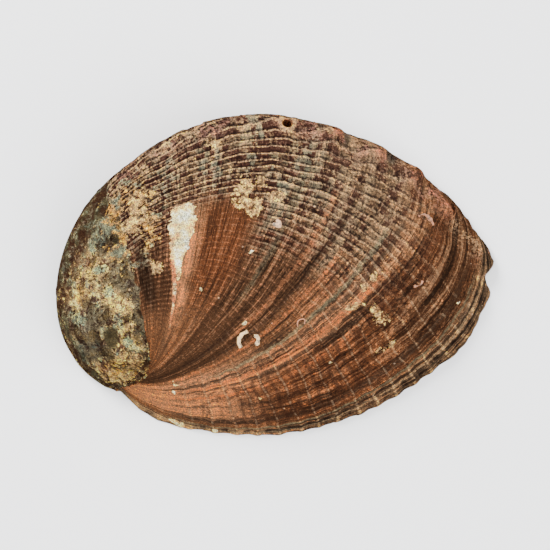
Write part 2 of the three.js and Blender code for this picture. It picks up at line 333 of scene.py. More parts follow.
@dataclass(frozen=True)
class Dome:
    """The smooth form of the shell, with no ribs: the outer dome and the hollow under it.

    Heights follow top * (1 - share ** fullness) ** steepness, from the crown to the edge.
    """

    height: float = 26.0
    crown_wall: float = 2.2
    crown: Spot = (-5.6, 6.7)
    apex: Spot = (-37.0, -13.8)
    spire_height: float = 1.7
    spire_radius: float = 10.0
    ledge_height: float = 5.0
    ledge_slope: float = 0.12
    samples: int = 320
    outline: tuple[Spot, ...] = (
        (49.9, 3.5), (49.1, 6.6), (45.6, 9.6), (42.7, 15.8), (36.6, 21.3),
        (24.5, 29.5), (12.2, 34.2), (-3.8, 36.8), (-19.4, 33.5), (-31.8, 26.6),
        (-43.2, 15.8), (-49.5, 0.1), (-48.9, -12.2), (-44.3, -20.8), (-38.6, -25.4),
        (-36.6, -26.1), (-34.9, -27.4), (-27.5, -32.5), (-13.3, -35.9), (-0.1, -36.4),
        (12.3, -34.1), (24.6, -29.4), (37.2, -21.5), (43.9, -15.8), (47.9, -8.3),
        (49.7, -4.2), (48.5, -0.1),
    )
    flanks: tuple[Flank, ...] = (
        Flank(0, 2.3, 0.75),
        Flank(25, 2.5, 0.5),
        Flank(50, 2.8, 0.34),
        Flank(85, 3.0, 0.29),
        Flank(125, 3.0, 0.31),
        Flank(165, 2.6, 0.38),
        Flank(200, 2.4, 0.44),
        Flank(220, 2.3, 0.52),
        Flank(240, 2.0, 0.8),
        Flank(275, 2.0, 0.95),
        Flank(320, 2.0, 0.9),
    )
    edges: tuple[Rim, ...] = (
        Rim(0, 1.5, 1.9),
        Rim(25, 1.8, 3.6),
        Rim(55, 2.2, 5.6),
        Rim(95, 2.3, 6.6),
        Rim(140, 2.3, 7.2),
        Rim(185, 2.3, 7.2),
        Rim(212, 2.2, 5.4),
        Rim(230, 1.8, 2.8),
        Rim(255, 1.4, 1.5),
        Rim(330, 1.4, 1.5),
    )

    def _by_azimuth(self, rows: Sequence[Flank | Rim], column: str) -> RoundCurve:
        """A curve through one column of the flanks or the edges."""
        return RoundCurve.through(
            [(math.radians(row.azimuth), getattr(row, column)) for row in rows]
        )

    def radius(self, azimuth: Array) -> Array:
        """Distance from the crown to the edge, seen from above."""
        arms = np.array(self.outline) - np.array(self.crown)
        knots = [(math.atan2(dy, dx), math.hypot(dx, dy)) for dx, dy in arms]
        return RoundCurve.through(knots)(azimuth)

    def wall(self, azimuth: Array) -> Array:
        """Thickness of the wall at the edge."""
        return self._by_azimuth(self.edges, "wall")(azimuth)

    def ledge(self, azimuth: Array) -> Array:
        """Width of the wall and the flat ledge together, where the shell rests."""
        return self._by_azimuth(self.edges, "ledge")(azimuth)

    def ledge_rise(self, azimuth: Array) -> Array:
        """How far the ledge's inner edge stands off the floor."""
        spare = self.ledge(azimuth) - self.wall(azimuth)
        return np.maximum(0.0, self.ledge_slope * spare)

    def fall(self, azimuth: Array, share: Array) -> Array:
        """The dome's height as a share of its top, from 1 at the crown to 0 at the edge."""
        fullness = self._by_azimuth(self.flanks, "fullness")(azimuth)
        steepness = self._by_azimuth(self.flanks, "steepness")(azimuth)
        return (1 - np.clip(share, 0, 1) ** fullness) ** steepness

    def spire(self, x: Array, y: Array) -> Array:
        """The low mound of the spire."""
        away = np.hypot(x - self.apex[0], y - self.apex[1])
        return self.spire_height * hill(away, self.spire_radius)

    def outer(self, azimuth: Array, share: Array) -> Array:
        """Places on the outer dome, from the crown at share 0 to the edge at share 1."""
        fall = self.fall(azimuth, share)
        return self._raised(azimuth, share * self.radius(azimuth), self.height * fall, fall)

    def inner(self, azimuth: Array, share: Array) -> Array:
        """Places on the hollow's roof. Its foot is drawn in to the ledge."""
        fall = self.fall(azimuth, share)
        wall, ledge, base = self.wall(azimuth), self.ledge(azimuth), self.ledge_rise(azimuth)
        height = base + (self.height - self.crown_wall - base) * fall
        drawn_in = (ledge - wall) * ease(1 - (height - base) / self.ledge_height)
        reach = share * (self.radius(azimuth) - wall - drawn_in)
        return self._raised(azimuth, reach, height, fall)

    def _raised(self, azimuth: Array, reach: Array, height: Array, fall: Array) -> Array:
        """Places at a reach from the crown and a height, with the spire's mound on them."""
        x = self.crown[0] + reach * np.cos(azimuth)
        y = self.crown[1] + reach * np.sin(azimuth)
        z = height + self.spire(x, y) * np.minimum(1, 3 * fall)
        return np.stack([x, y, z], axis=-1)

    def even_shares(self, profile: Callable, azimuth: Array, count: int) -> Array:
        """Shares that space rings evenly along each profile.

        Args:
            profile: The outer or inner method of this dome.
            azimuth: One azimuth per sector.
            count: How many rings there are from the crown to the edge.

        Returns:
            An array of sectors by rings, whose last ring is at the edge.
        """
        samples = 1 - (1 - np.linspace(0, 1, self.samples)) ** 2.5
        shape = (len(azimuth), self.samples)
        places = profile(azimuth[:, None], np.broadcast_to(samples, shape))
        steps = np.linalg.norm(np.diff(places, axis=1), axis=2)
        lengths = np.concatenate([np.zeros((len(azimuth), 1)), np.cumsum(steps, axis=1)], axis=1)
        wanted = np.arange(1, count + 1) / count
        return np.stack([np.interp(wanted * row[-1], row, samples) for row in lengths])


class PoreKind(Enum):
    """Whether a breathing pore is open or the animal has filled it."""

    OPEN = "open"
    FILLED = "filled"


@dataclass(frozen=True)
class Pore:
    """One breathing pore.

    Attributes:
        place: Its place seen from above.
        kind: Whether it is open.
        height: How high its collar stands.
        lift: How far its opening turns up from the slope that it sits on.
    """

    place: Spot
    kind: PoreKind
    height: float
    lift: float = 0.9


class StainOrShade(Enum):
    """What lies on the skin in a small patch, or painted shade beside some pores. Each is a mark that
    the finish reads.
    """

    CHALK = "chalk"
    WHITE = "white"
    # A dark band beside the spire, and painted shade on the sides of two pores that face away from the
    # light.
    DUSK = "dusk"


@dataclass(frozen=True)
class Daub:
    """A small oval patch on the dome.

    Attributes:
        stain: What the patch is of, a stain or painted shade.
        place: Its middle, seen from above.
        wide: Half its length.
        high: Half its width.
        turn: The angle of its length, in degrees.
        lift: How high it stands.
    """

    stain: StainOrShade
    place: Spot
    wide: float
    high: float
    turn: float = 0.0
    lift: float = 0.3

    def mask(self, points: Array) -> Array:
        """1 in the patch and 0 well outside it."""
        turn = math.radians(self.turn)
        dx, dy = points[:, 0] - self.place[0], points[:, 1] - self.place[1]
        along = (dx * math.cos(turn) + dy * math.sin(turn)) / self.wide
        athwart = (dy * math.cos(turn) - dx * math.sin(turn)) / self.high
        return 1 - ease((np.hypot(along, athwart) - 0.6) / 0.9)


@dataclass(frozen=True)
class Pause:
    """A stage at which growth paused, and the height and length of the ledge it left."""

    stage: float
    step: float
    length: float


@dataclass
class Skin:
    """Everything known about the points of a surface before it is given relief.

    Attributes:
        points: The places.
        stage: Each point's growth stage.
        across: Its share of the way from the seam to the pore row.
        length: The length of its former edge's chord.
        cord: How many cords lie between the seam and the point.
        side: Its distance down the steep side from the pore row, and 0 above it.
    """

    points: Array
    stage: Array
    across: Array
    length: Array
    cord: Array
    side: Array


@dataclass(frozen=True)
class Zones:
    """Where the skin is worn, scarred, crusted or smooth, each from 0 to 1."""

    grain: Grain = Grain(11)
    worn_stage: float = 6.0
    pit_place: Spot = (-36.9, -14.4)
    pit_size: Spot = (2.1, 3.2)

    def worn(self, skin: Skin) -> Array:
        """The old spire, whose outer layer is gone."""
        ragged = 0.14 * self.grain.layers(skin.points, 4.0)
        return ease((skin.stage - self.worn_stage + ragged) / 0.14)

    def _scar_edges(self, skin: Skin) -> tuple[Array, Array]:
        """The stages of the scar's newer and older edges, with ragged outlines."""
        shares = (0.16, 0.23, 0.31, 0.42, 0.52, 0.64, 0.74)
        newer = np.interp(skin.across, shares, (4.46, 4.64, 4.76, 4.92, 4.90, 4.80, 4.92))
        older = np.interp(skin.across, shares, (4.62, 4.80, 4.94, 5.10, 5.21, 5.28, 5.24))
        ragged = 0.04 * self.grain.layers(skin.points, 1.4) + 0.03 * self.grain.at(skin.points, 5.0)
        return newer + ragged, older + ragged

    def scar(self, skin: Skin) -> Array:
        """The white scar along one former edge, widest near its upper end."""
        newer, older = self._scar_edges(skin)
        wide = 0.5 + 0.5 * ease((skin.across - 0.4) / 0.14)
        band = window(skin.stage, older - wide * (older - newer), older, 0.09)
        return band * window(skin.across, 0.4, 0.72, 0.06)

    def flush(self, skin: Skin) -> Array:
        """The orange flush beside the scar."""
        newer, older = self._scar_edges(skin)
        return window(skin.stage, newer - 0.1, older, 0.3) * window(skin.across, 0.12, 0.66, 0.2)

    def crust(self, skin: Skin) -> Array:
        """The rough cream crust between the spire and the pore row."""
        patch = window(skin.stage, 5.42, 6.5, 0.35) * window(skin.across, 0.52, 0.93, 0.12)
        speckle = self.grain.layers(skin.points, 2.6)
        return patch * ease(0.5 + 1.1 * speckle)

    def calm(self, skin: Skin) -> Array:
        """The smooth red patch beside the scar, where the ribs nearly vanish."""
        patch = window(skin.stage, 3.7, 4.95, 0.5) * window(skin.across, 0.4, 0.735, 0.1)
        return np.clip(patch, 0, 1)

    def pit(self, skin: Skin) -> Array:
        """The oval basin at the tip of the spire."""
        away = (skin.points[:, :2] - np.array(self.pit_place)) / np.array(self.pit_size)
        return hill(np.hypot(*away.T), 1.0)


@dataclass(frozen=True)
class Relief:
    """Heights of the sculpture above the smooth dome, in millimetres."""

    cords: int = 42
    cord_gain: float = 0.035
    cord_height: float = 0.3
    rib_height: float = 0.34
    side_spacing: float = 2.3
    keel_height: float = 0.9
    keel_width: float = 2.0
    seam_depth: float = 0.9
    grain: Grain = Grain(29)
    zones: Zones = Zones()
    pauses: tuple[Pause, ...] = (
        Pause(0.72, 0.45, 0.3),
        Pause(1.92, 0.4, 0.22),
        Pause(2.9, 0.42, 0.3),
        Pause(3.4, 0.2, 0.2),
        Pause(4.9, 0.4, 0.3),
        Pause(1.45, 0.2, 0.15),
    )
    daubs: tuple[Daub, ...] = (
        Daub(StainOrShade.CHALK, (-6.7, 19.3), 3.4, 2.2, 70),
        Daub(StainOrShade.CHALK, (-4.4, 15.8), 2.6, 2.4),
        Daub(StainOrShade.CHALK, (-2.8, 21.1), 1.7, 1.2),
        Daub(StainOrShade.CHALK, (0.4, 17.8), 2.2, 1.2),
        Daub(StainOrShade.CHALK, (-13.1, 29.5), 2.6, 0.9),
        Daub(StainOrShade.CHALK, (-26.1, 2.2), 1.5, 1.9, 20),
        Daub(StainOrShade.CHALK, (-28.0, 2.9), 1.3, 0.8),
        Daub(StainOrShade.CHALK, (-30.6, 15.8), 2.4, 3.2, 15),
        Daub(StainOrShade.CHALK, (-31.3, 11.0), 2.8, 2.2),
        Daub(StainOrShade.CHALK, (24.6, -9.5), 1.9, 1.6),
        Daub(StainOrShade.CHALK, (18.6, -6.7), 1.9, 0.9, 15),
        Daub(StainOrShade.CHALK, (22.9, -7.2), 1.4, 1.2),
        Daub(StainOrShade.CHALK, (26.8, -15.4), 1.1, 0.7, 30),
        Daub(StainOrShade.CHALK, (24.4, -17.0), 1.1, 0.6, 30),
        Daub(StainOrShade.CHALK, (22.7, -0.2), 0.7, 1.2),
        Daub(StainOrShade.CHALK, (20.4, -2.4), 0.6, 1.0),
        Daub(StainOrShade.CHALK, (-32.2, -11.5), 1.2, 1.4),
        Daub(StainOrShade.CHALK, (-32.7, -6.9), 1.2, 2.4),
        Daub(StainOrShade.CHALK, (-35.2, -23.4), 4.2, 1.5, -12),
        Daub(StainOrShade.CHALK, (-31.1, -19.8), 1.7, 2.6, -20),
        Daub(StainOrShade.WHITE, (-22.0, -33.7), 2.0, 0.6, -22, 0.0),
        Daub(StainOrShade.WHITE, (-13.3, -35.5), 0.9, 0.6, 0, 0.0),
        Daub(StainOrShade.WHITE, (-2.8, -27.7), 0.5, 0.5),
        Daub(StainOrShade.WHITE, (-22.0, -24.5), 0.9, 0.4),
        Daub(StainOrShade.WHITE, (-22.4, -26.4), 0.45, 0.5),
        Daub(StainOrShade.WHITE, (-4.9, 5.4), 0.7, 0.35, 20),
        Daub(StainOrShade.WHITE, (-16.1, -3.0), 0.4, 0.5),
        Daub(StainOrShade.WHITE, (-6.4, -10.4), 0.7, 0.4, 20),
        Daub(StainOrShade.WHITE, (42.0, -6.3), 0.4, 0.4),
        Daub(StainOrShade.WHITE, (12.9, -19.5), 0.6, 0.3, 30),
        # The last three daubs darken: a dark band beside the spire, and painted shade on the sides of
        # two pores that face away from the light.
        Daub(StainOrShade.DUSK, (-28.6, 0.0), 1.5, 6.5, 12, 0.0),
        Daub(StainOrShade.DUSK, (26.4, 26.2), 0.9, 1.6, 20, 0.0),
        Daub(StainOrShade.DUSK, (16.6, 30.4), 0.7, 1.3, 0, 0.0),
    )

    def cord_waves(self, skin: Skin) -> Array:
        """The fine spiral cords and, towards the front lip, the broader ribs."""
        newer = ease(skin.stage / 0.5 + 0.5)
        upper = ease((skin.across - 0.4) / 0.25)
        older = 1 - 0.5 * ease((skin.stage - 6.1) / 1.2) - 0.5 * ease((skin.stage - 8.4) / 0.8)
        lower = 0.3 + 0.4 * ease((skin.stage - 4.9) / 0.4)
        cord_share = np.where(skin.stage > 2.2, 1.0, 0.62) * upper + lower * (1 - upper)
        cord_share = cord_share * older * (1 - 0.85 * self.zones.calm(skin))
        place = skin.cord - np.floor(skin.cord)
        cord = 1 - np.abs(2 * place - 1) ** 2.6 - 0.72
        rib_place = skin.cord / 2 - np.floor(skin.cord / 2)
        rib = hill(rib_place - 0.5, 0.17)
        front = (1 - ease((skin.stage - 2.4) / 1.2)) * ease(skin.across / 0.12)
        front = front * (1 - ease((skin.across - 0.72) / 0.2))
        rim = 1 + 0.5 * (1 - newer)
        start = ease(skin.across / 0.1)
        return start * (
            self.cord_height * cord_share * cord + self.rib_height * rim * front * rib
        )

    def growth_waves(self, skin: Skin) -> Array:
        """Fine lines and ledges along the former edges."""
        height = np.zeros(len(skin.points))
        open_out = ease(skin.across / 0.3)
        for size, weight in ((0.32, 0.12), (0.13, 0.08), (0.055, 0.05)):
            lines = np.stack([skin.stage, skin.cord * size / 7, 0 * skin.stage], axis=1)
            height += weight * self.grain.at(lines, size) * (0.25 + 0.75 * open_out)
        ragged = 0.04 * self.grain.at(skin.points, 3.0)
        for pause in self.pauses:
            behind = skin.stage + ragged - pause.stage
            ledge = np.exp(-np.maximum(behind, 0) / pause.length) * ease(behind / 0.05)
            height += pause.step * ledge * ease(skin.across / 0.2)
        return height * (1 - ease((skin.stage - 6.0) / 0.6))

    def keel(self, skin: Skin) -> Array:
        """The raised line that carries the pores."""
        away = (skin.across - 1) * skin.length
        side = np.where(skin.side > 0, skin.side, away)
        worn = 1 - ease((skin.stage - 6.0) / 3.0)
        return self.keel_height * worn * hill(side, self.keel_width)

    def seam(self, skin: Skin) -> Array:
        """The groove where the last whorl meets the spire."""
        depth = np.exp(-np.maximum(skin.across, 0) / 0.05)
        return -self.seam_depth * depth * (skin.stage < 10)

    def stain(self, skin: Skin, stain: StainOrShade) -> Array:
        """How much of one stain, or of the painted shade, lies at each point, from 0 to 1."""
        cover = np.zeros(len(skin.points))
        for daub in self.daubs:
            if daub.stain is stain:
                cover = np.maximum(cover, daub.mask(skin.points))
        return cover

    def crusts(self, skin: Skin) -> Array:
        """Lumps of lime, with rough tops."""
        height = np.zeros(len(skin.points))
        for daub in self.daubs:
            height = np.maximum(height, daub.lift * daub.mask(skin.points))
        return height * (1 + 0.9 * self.grain.layers(skin.points, 1.0, 2))

    def wear(self, skin: Skin) -> Array:
        """Pits and lumps of the worn spire, the scar and the crust."""
        worn, crust = self.zones.worn(skin), self.zones.crust(skin)
        coarse = self.grain.layers(skin.points, 3.2, 4)
        pits = -ease((Grain(71).layers(skin.points, 1.3, 2) - 0.3) / 0.4)
        height = worn * (0.55 * coarse + 0.6 * pits - 0.3)
        height += crust * (0.3 + 0.3 * Grain(53).layers(skin.points, 1.1, 2))
        height -= 0.14 * self.zones.scar(skin)
        return height - 0.9 * self.zones.pit(skin)

    def outer(self, skin: Skin) -> Array:
        """The whole relief of the outer skin."""
        worn = self.zones.worn(skin)
        kept = 1 - worn * (1 - 0.55 * ease((skin.across - 0.55) / 0.15))
        made = self.cord_waves(skin) * kept + self.growth_waves(skin) * (1 - worn)
        swell = 0.22 * self.grain.at(skin.points, 11.0)
        micro = 0.035 * self.grain.layers(skin.points, 0.7, 2)
        micro += 0.09 * Grain(61).layers(skin.points, 2.6, 3)
        lines = self.keel(skin) + self.seam(skin)
        return made + swell + micro + lines + self.crusts(skin) + self.wear(skin)


@dataclass
class Graph:
    """A material in the making, with short calls for the nodes it is built from."""

    name: str
    material: bpy.types.Material = field(init=False)
    shader: bpy.types.Node = field(init=False)

    def __post_init__(self) -> None:
        """Makes the material with an empty principled shader."""
        self.material = bpy.data.materials.new(self.name)
        self.material.use_nodes = True
        self.shader = self.material.node_tree.nodes["Principled BSDF"]

    def node(self, kind: str, inputs: dict[int | str, Value], **settings: object) -> bpy.types.Node:
        """Adds a node.

        Args:
            kind: The node's type.
            inputs: What goes into its sockets, by their names or numbers.
            settings: Its options.

        Returns:
            The node.
        """
        made = self.material.node_tree.nodes.new(kind)
        for name, value in settings.items():
            setattr(made, name, value)
        for key, value in inputs.items():
            self.feed(made.inputs[key], value)
        return made

    def feed(self, socket: Socket, value: Value) -> None:
        """Links a socket, or sets it to a plain value."""
        if isinstance(value, Socket):
            self.material.node_tree.links.new(value, socket)
        elif isinstance(value, tuple) and len(value) == 3 and socket.type == "RGBA":
            socket.default_value = (*value, 1.0)
        else:
            socket.default_value = value

    def attribute(self, name: str) -> Socket:
        """A number that the mesh holds at each point."""
        return self.node("ShaderNodeAttribute", {}, attribute_name=name).outputs["Fac"]

    def place(self) -> Socket:
        """The point's place on the object, in metres."""
        return self.node("ShaderNodeTexCoord", {}).outputs["Object"]

    def sum_of(self, first: Value, second: Value) -> Socket:
        """First plus second."""
        return self.math("ADD", first, second)

    def math(self, operation: str, first: Value, second: Value = 0.0) -> Socket:
        """The result of one Math node."""
        made = self.node("ShaderNodeMath", {0: first, 1: second}, operation=operation)
        return made.outputs[0]

    def times(self, *values: Value) -> Socket:
        """The product of two or more values."""
        result = values[0]
        for value in values[1:]:
            result = self.math("MULTIPLY", result, value)
        return result

    def step(self, value: Value, low: float, high: float) -> Socket:
        """A smooth step of a value, from 0 at low to 1 at high."""
        inputs = {"Value": value, "From Min": low, "From Max": high}
        made = self.node("ShaderNodeMapRange", inputs, interpolation_type="SMOOTHSTEP")
        return made.outputs["Result"]

    def band(self, value: Value, low: float, high: float, soft: float) -> Socket:
        """1 where a value is between low and high."""
        rise = self.step(value, low - soft / 2, low + soft / 2)
        fall = self.step(value, high + soft / 2, high - soft / 2)
        return self.times(rise, fall)

    def warped(self, place: Socket, scale: float, reach: float) -> Socket:
        """A place pushed about by noise, so that patterns over it swirl."""
        made = self.node("ShaderNodeTexNoise", {"Vector": place, "Scale": scale})
        return self.vector_math("ADD", place, self.scaled(made.outputs["Color"], reach))

    def blend(self, share: Value, first: Value, second: Value) -> Socket:
        """First, turning into second as share goes to 1. Both are numbers."""
        made = self.node("ShaderNodeMix", {0: share, 2: first, 3: second}, data_type="FLOAT")
        return made.outputs[0]

    def mix(self, share: Value, first: Value, second: Value) -> Socket:
        """First, turning into second as share goes to 1. Both are colours."""
        made = self.node("ShaderNodeMix", {0: share, 6: first, 7: second}, data_type="RGBA")
        return made.outputs[2]

    def near(self, value: Value, centre: float, half: float) -> Socket:
        """1 where a value's fraction is close to centre, 0 beyond half from it."""
        part = self.math("FRACT", self.sum_of(value, 0.5 - centre))
        away = self.math("ABSOLUTE", self.sum_of(part, -0.5))
        return self.step(away, half, 0.35 * half)

    def centred(self, value: Value) -> Socket:
        """A noise value moved to lie round 0."""
        return self.sum_of(value, -0.5)

    def stirred(self, value: Value, noise: Value, reach: float) -> Socket:
        """A value moved up and down by a noise."""
        return self.sum_of(value, self.times(self.centred(noise), reach))

    def chance(self, first: Value, second: Value) -> Socket:
        """A random value from 0 to 1 for each pair of whole numbers."""
        spot = {"Vector": self.vector(first, second)}
        made = self.node("ShaderNodeTexWhiteNoise", spot, noise_dimensions="2D")
        return made.outputs["Value"]

    def vector(self, x: Value, y: Value, z: Value = 0.0) -> Socket:
        """A vector from three values."""
        return self.node("ShaderNodeCombineXYZ", {0: x, 1: y, 2: z}).outputs[0]

    def noise(self, place: Socket, scale: float, detail: float = 3.0, rough: float = 0.6) -> Socket:
        """A noise value that is mostly between 0.3 and 0.7."""
        inputs = {"Vector": place, "Scale": scale, "Detail": detail, "Roughness": rough}
        return self.node("ShaderNodeTexNoise", inputs).outputs["Fac"]

    def cells(self, place: Socket, scale: float) -> bpy.types.Node:
        """A pattern of cells."""
        return self.node("ShaderNodeTexVoronoi", {"Vector": place, "Scale": scale})

    def ramp(self, value: Value, stops: Ramp) -> Socket:
        """A colour ramp."""
        made = self.node("ShaderNodeValToRGB", {0: value})
        elements = made.color_ramp.elements
        elements[0].position, elements[0].color = stops[0][0], (*stops[0][1], 1.0)
        elements[1].position, elements[1].color = stops[-1][0], (*stops[-1][1], 1.0)
        for position, colour in stops[1:-1]:
            elements.new(position).color = (*colour, 1.0)
        return made.outputs["Color"]

    def vector_math(self, operation: str, first: Value, second: Value) -> Socket:
        """The vector result of one Vector Math node."""
        made = self.node("ShaderNodeVectorMath", {0: first, 1: second}, operation=operation)
        return made.outputs["Vector"]

    def power(self, colour: Value, exponent: float) -> Socket:
        """A colour with each part raised to a power."""
        return self.node("ShaderNodeGamma", {"Color": colour, "Gamma": exponent}).outputs["Color"]

    def grey(self, colour: Value) -> Socket:
        """The mean of a colour's parts, as a grey."""
        inputs = {0: colour, 1: (1 / 3, 1 / 3, 1 / 3)}
        mean = self.node("ShaderNodeVectorMath", inputs, operation="DOT_PRODUCT").outputs["Value"]
        return self.vector(mean, mean, mean)

    def scaled(self, colour: Value, amount: Value) -> Socket:
        """A colour made lighter or darker."""
        inputs = {0: colour, "Scale": amount}
        return self.node("ShaderNodeVectorMath", inputs, operation="SCALE").outputs[0]

    def bump(self, height: Value, depth: float) -> Socket:
        """A bumped normal for a height from 0 to 1, depth being its size in metres."""
        inputs = {"Strength": 1.0, "Distance": depth, "Height": height}
        return self.node("ShaderNodeBump", inputs).outputs["Normal"]

    def finish(self, **sockets: Value) -> bpy.types.Material:
        """Feeds the shader's sockets, named with underscores for spaces."""
        for name, value in sockets.items():
            self.feed(self.shader.inputs[name.replace("_", " ")], value)
        return self.material


def seen(red: int, green: int, blue: int) -> Colour:
    """A colour as it looks on screen, from 0 to 255, in shares of 1."""
    return (red / 255, green / 255, blue / 255)


@dataclass(frozen=True)
class Print:
    """Turns colours as they look on screen into the surface colours that give them.

    The render's tone curve draws colours towards grey, and shows light L as a grey g for which
    L = grey_light * (g / (1 - g)) ** steepness. Both are undone here.

    Attributes:
        light: Light sent back by a white surface under this studio's lamps.
        grey_light: The light that shows as middle grey.
        steepness: How steep the tone curve is.
        gamma: The power between colours on screen and light.
        shown_pull: How far colours on screen are drawn towards grey.
        sent_pull: How far colours of light are drawn towards grey.
        brightest: The lightest surface colour that is given out.
        lightest: The lightest colour on screen that is taken in.
        darkest: The darkest surface colour that is given out.
    """

    light: float = 3.1
    grey_light: float = 0.218
    steepness: float = 1.2
    gamma: float = 2.11
    shown_pull: float = 0.323
    sent_pull: float = 0.305
    brightest: float = 0.9
    lightest: float = 0.96
    darkest: float = 0.0006

    def paint(self, colour: Colour) -> Colour:
        """The surface colour for one plain colour on screen."""
        screen = np.array(colour) ** self.gamma
        screen = (screen + self.shown_pull * (screen.mean() - screen)) ** (1 / self.gamma)
        light = self.grey_light * (screen / (1 - screen)) ** self.steepness
        light = (light - self.sent_pull * light.mean()) / (1 - self.sent_pull)
        return tuple(np.clip(light / self.light, self.darkest, self.brightest).tolist())

    def develop(self, g: Graph, colour: Value) -> Socket:
        """The same for a colour that nodes have mixed.

        Args:
            g: The material's graph.
            colour: The colour on screen.

        Returns:
            The surface colour.
        """
        screen = g.vector_math("MINIMUM", colour, (self.lightest,) * 3)
        screen = g.power(screen, self.gamma)
        screen = g.mix(self.shown_pull, screen, g.grey(screen))
        screen = g.power(screen, 1 / self.gamma)
        odds = g.vector_math("DIVIDE", screen, g.vector_math("SUBTRACT", (1.0, 1.0, 1.0), screen))
        light = g.scaled(g.power(odds, self.steepness), self.grey_light)
        pull = g.scaled(g.grey(light), self.sent_pull)
        clear = g.vector_math("SUBTRACT", light, pull)
        clear = g.scaled(clear, 1 / (self.light * (1 - self.sent_pull)))
        clear = g.vector_math("MAXIMUM", clear, (self.darkest,) * 3)
        return g.vector_math("MINIMUM", clear, (self.brightest,) * 3)


PRINT = Print()


class Tone(Enum):
    """The skin's own few colours, which all its growth bands and lines are painted in."""

    UMBER = seen(98, 62, 36)
    RUSSET = seen(124, 70, 36)
    CLAY = seen(146, 100, 64)
    FAWN = seen(204, 162, 124)
    DRAB = seen(130, 104, 76)
    STRAW = seen(198, 178, 142)
    BARK = seen(56, 34, 20)
    MOSS = seen(148, 148, 118)
    EMBER = seen(206, 144, 100)


@dataclass(frozen=True)
class Season:
    """A run of growth with a colour of its own.

    Attributes:
        tone: Its colour.
        newest: The stage where it ends.
        oldest: The stage where it begins.
        low: The share of the way across where it starts.
        high: The share of the way across where it ends.
        weight: How well it covers the colour under it.
    """

    tone: Tone
    newest: float
    oldest: float
    low: float
    high: float
    weight: float


@dataclass(frozen=True)
class Line:
    """A coloured line along one former edge.

    Attributes:
        tone: The line's colour.
        stage: The edge's stage.
        half: Half the line's width, in stages.
        low: The share of the way across where it starts.
        high: The share of the way across where it ends.
        weight: How well it covers the colour under it.
    """

    tone: Tone
    stage: float
    half: float
    low: float
    high: float
    weight: float


@dataclass(frozen=True)
class Weave:
    """The values over the skin that its colours are mixed from.

    Attributes:
        place: The point's place.
        stage: Its growth stage.
        across: Its share of the way from the seam to the pore row.
        wavy: The count of cords, a little uneven.
        soft: Noise of some millimetres.
        fine: Noise of under a millimetre.
        coarse: Rough noise between the two.
        lines: Noise that is drawn out along the former edges.
        spirals: Noise that is drawn out along the cords.
        swirls: Noise that is pushed about.
        chance: A random number for each short stretch of cord.
        rough: The noise that breaks the edges of the crusts.
    """

    place: Socket
    stage: Socket
    across: Socket
    wavy: Socket
    soft: Socket
    fine: Socket
    coarse: Socket
    lines: Socket
    spirals: Socket
    swirls: Socket
    chance: Socket
    rough: Socket


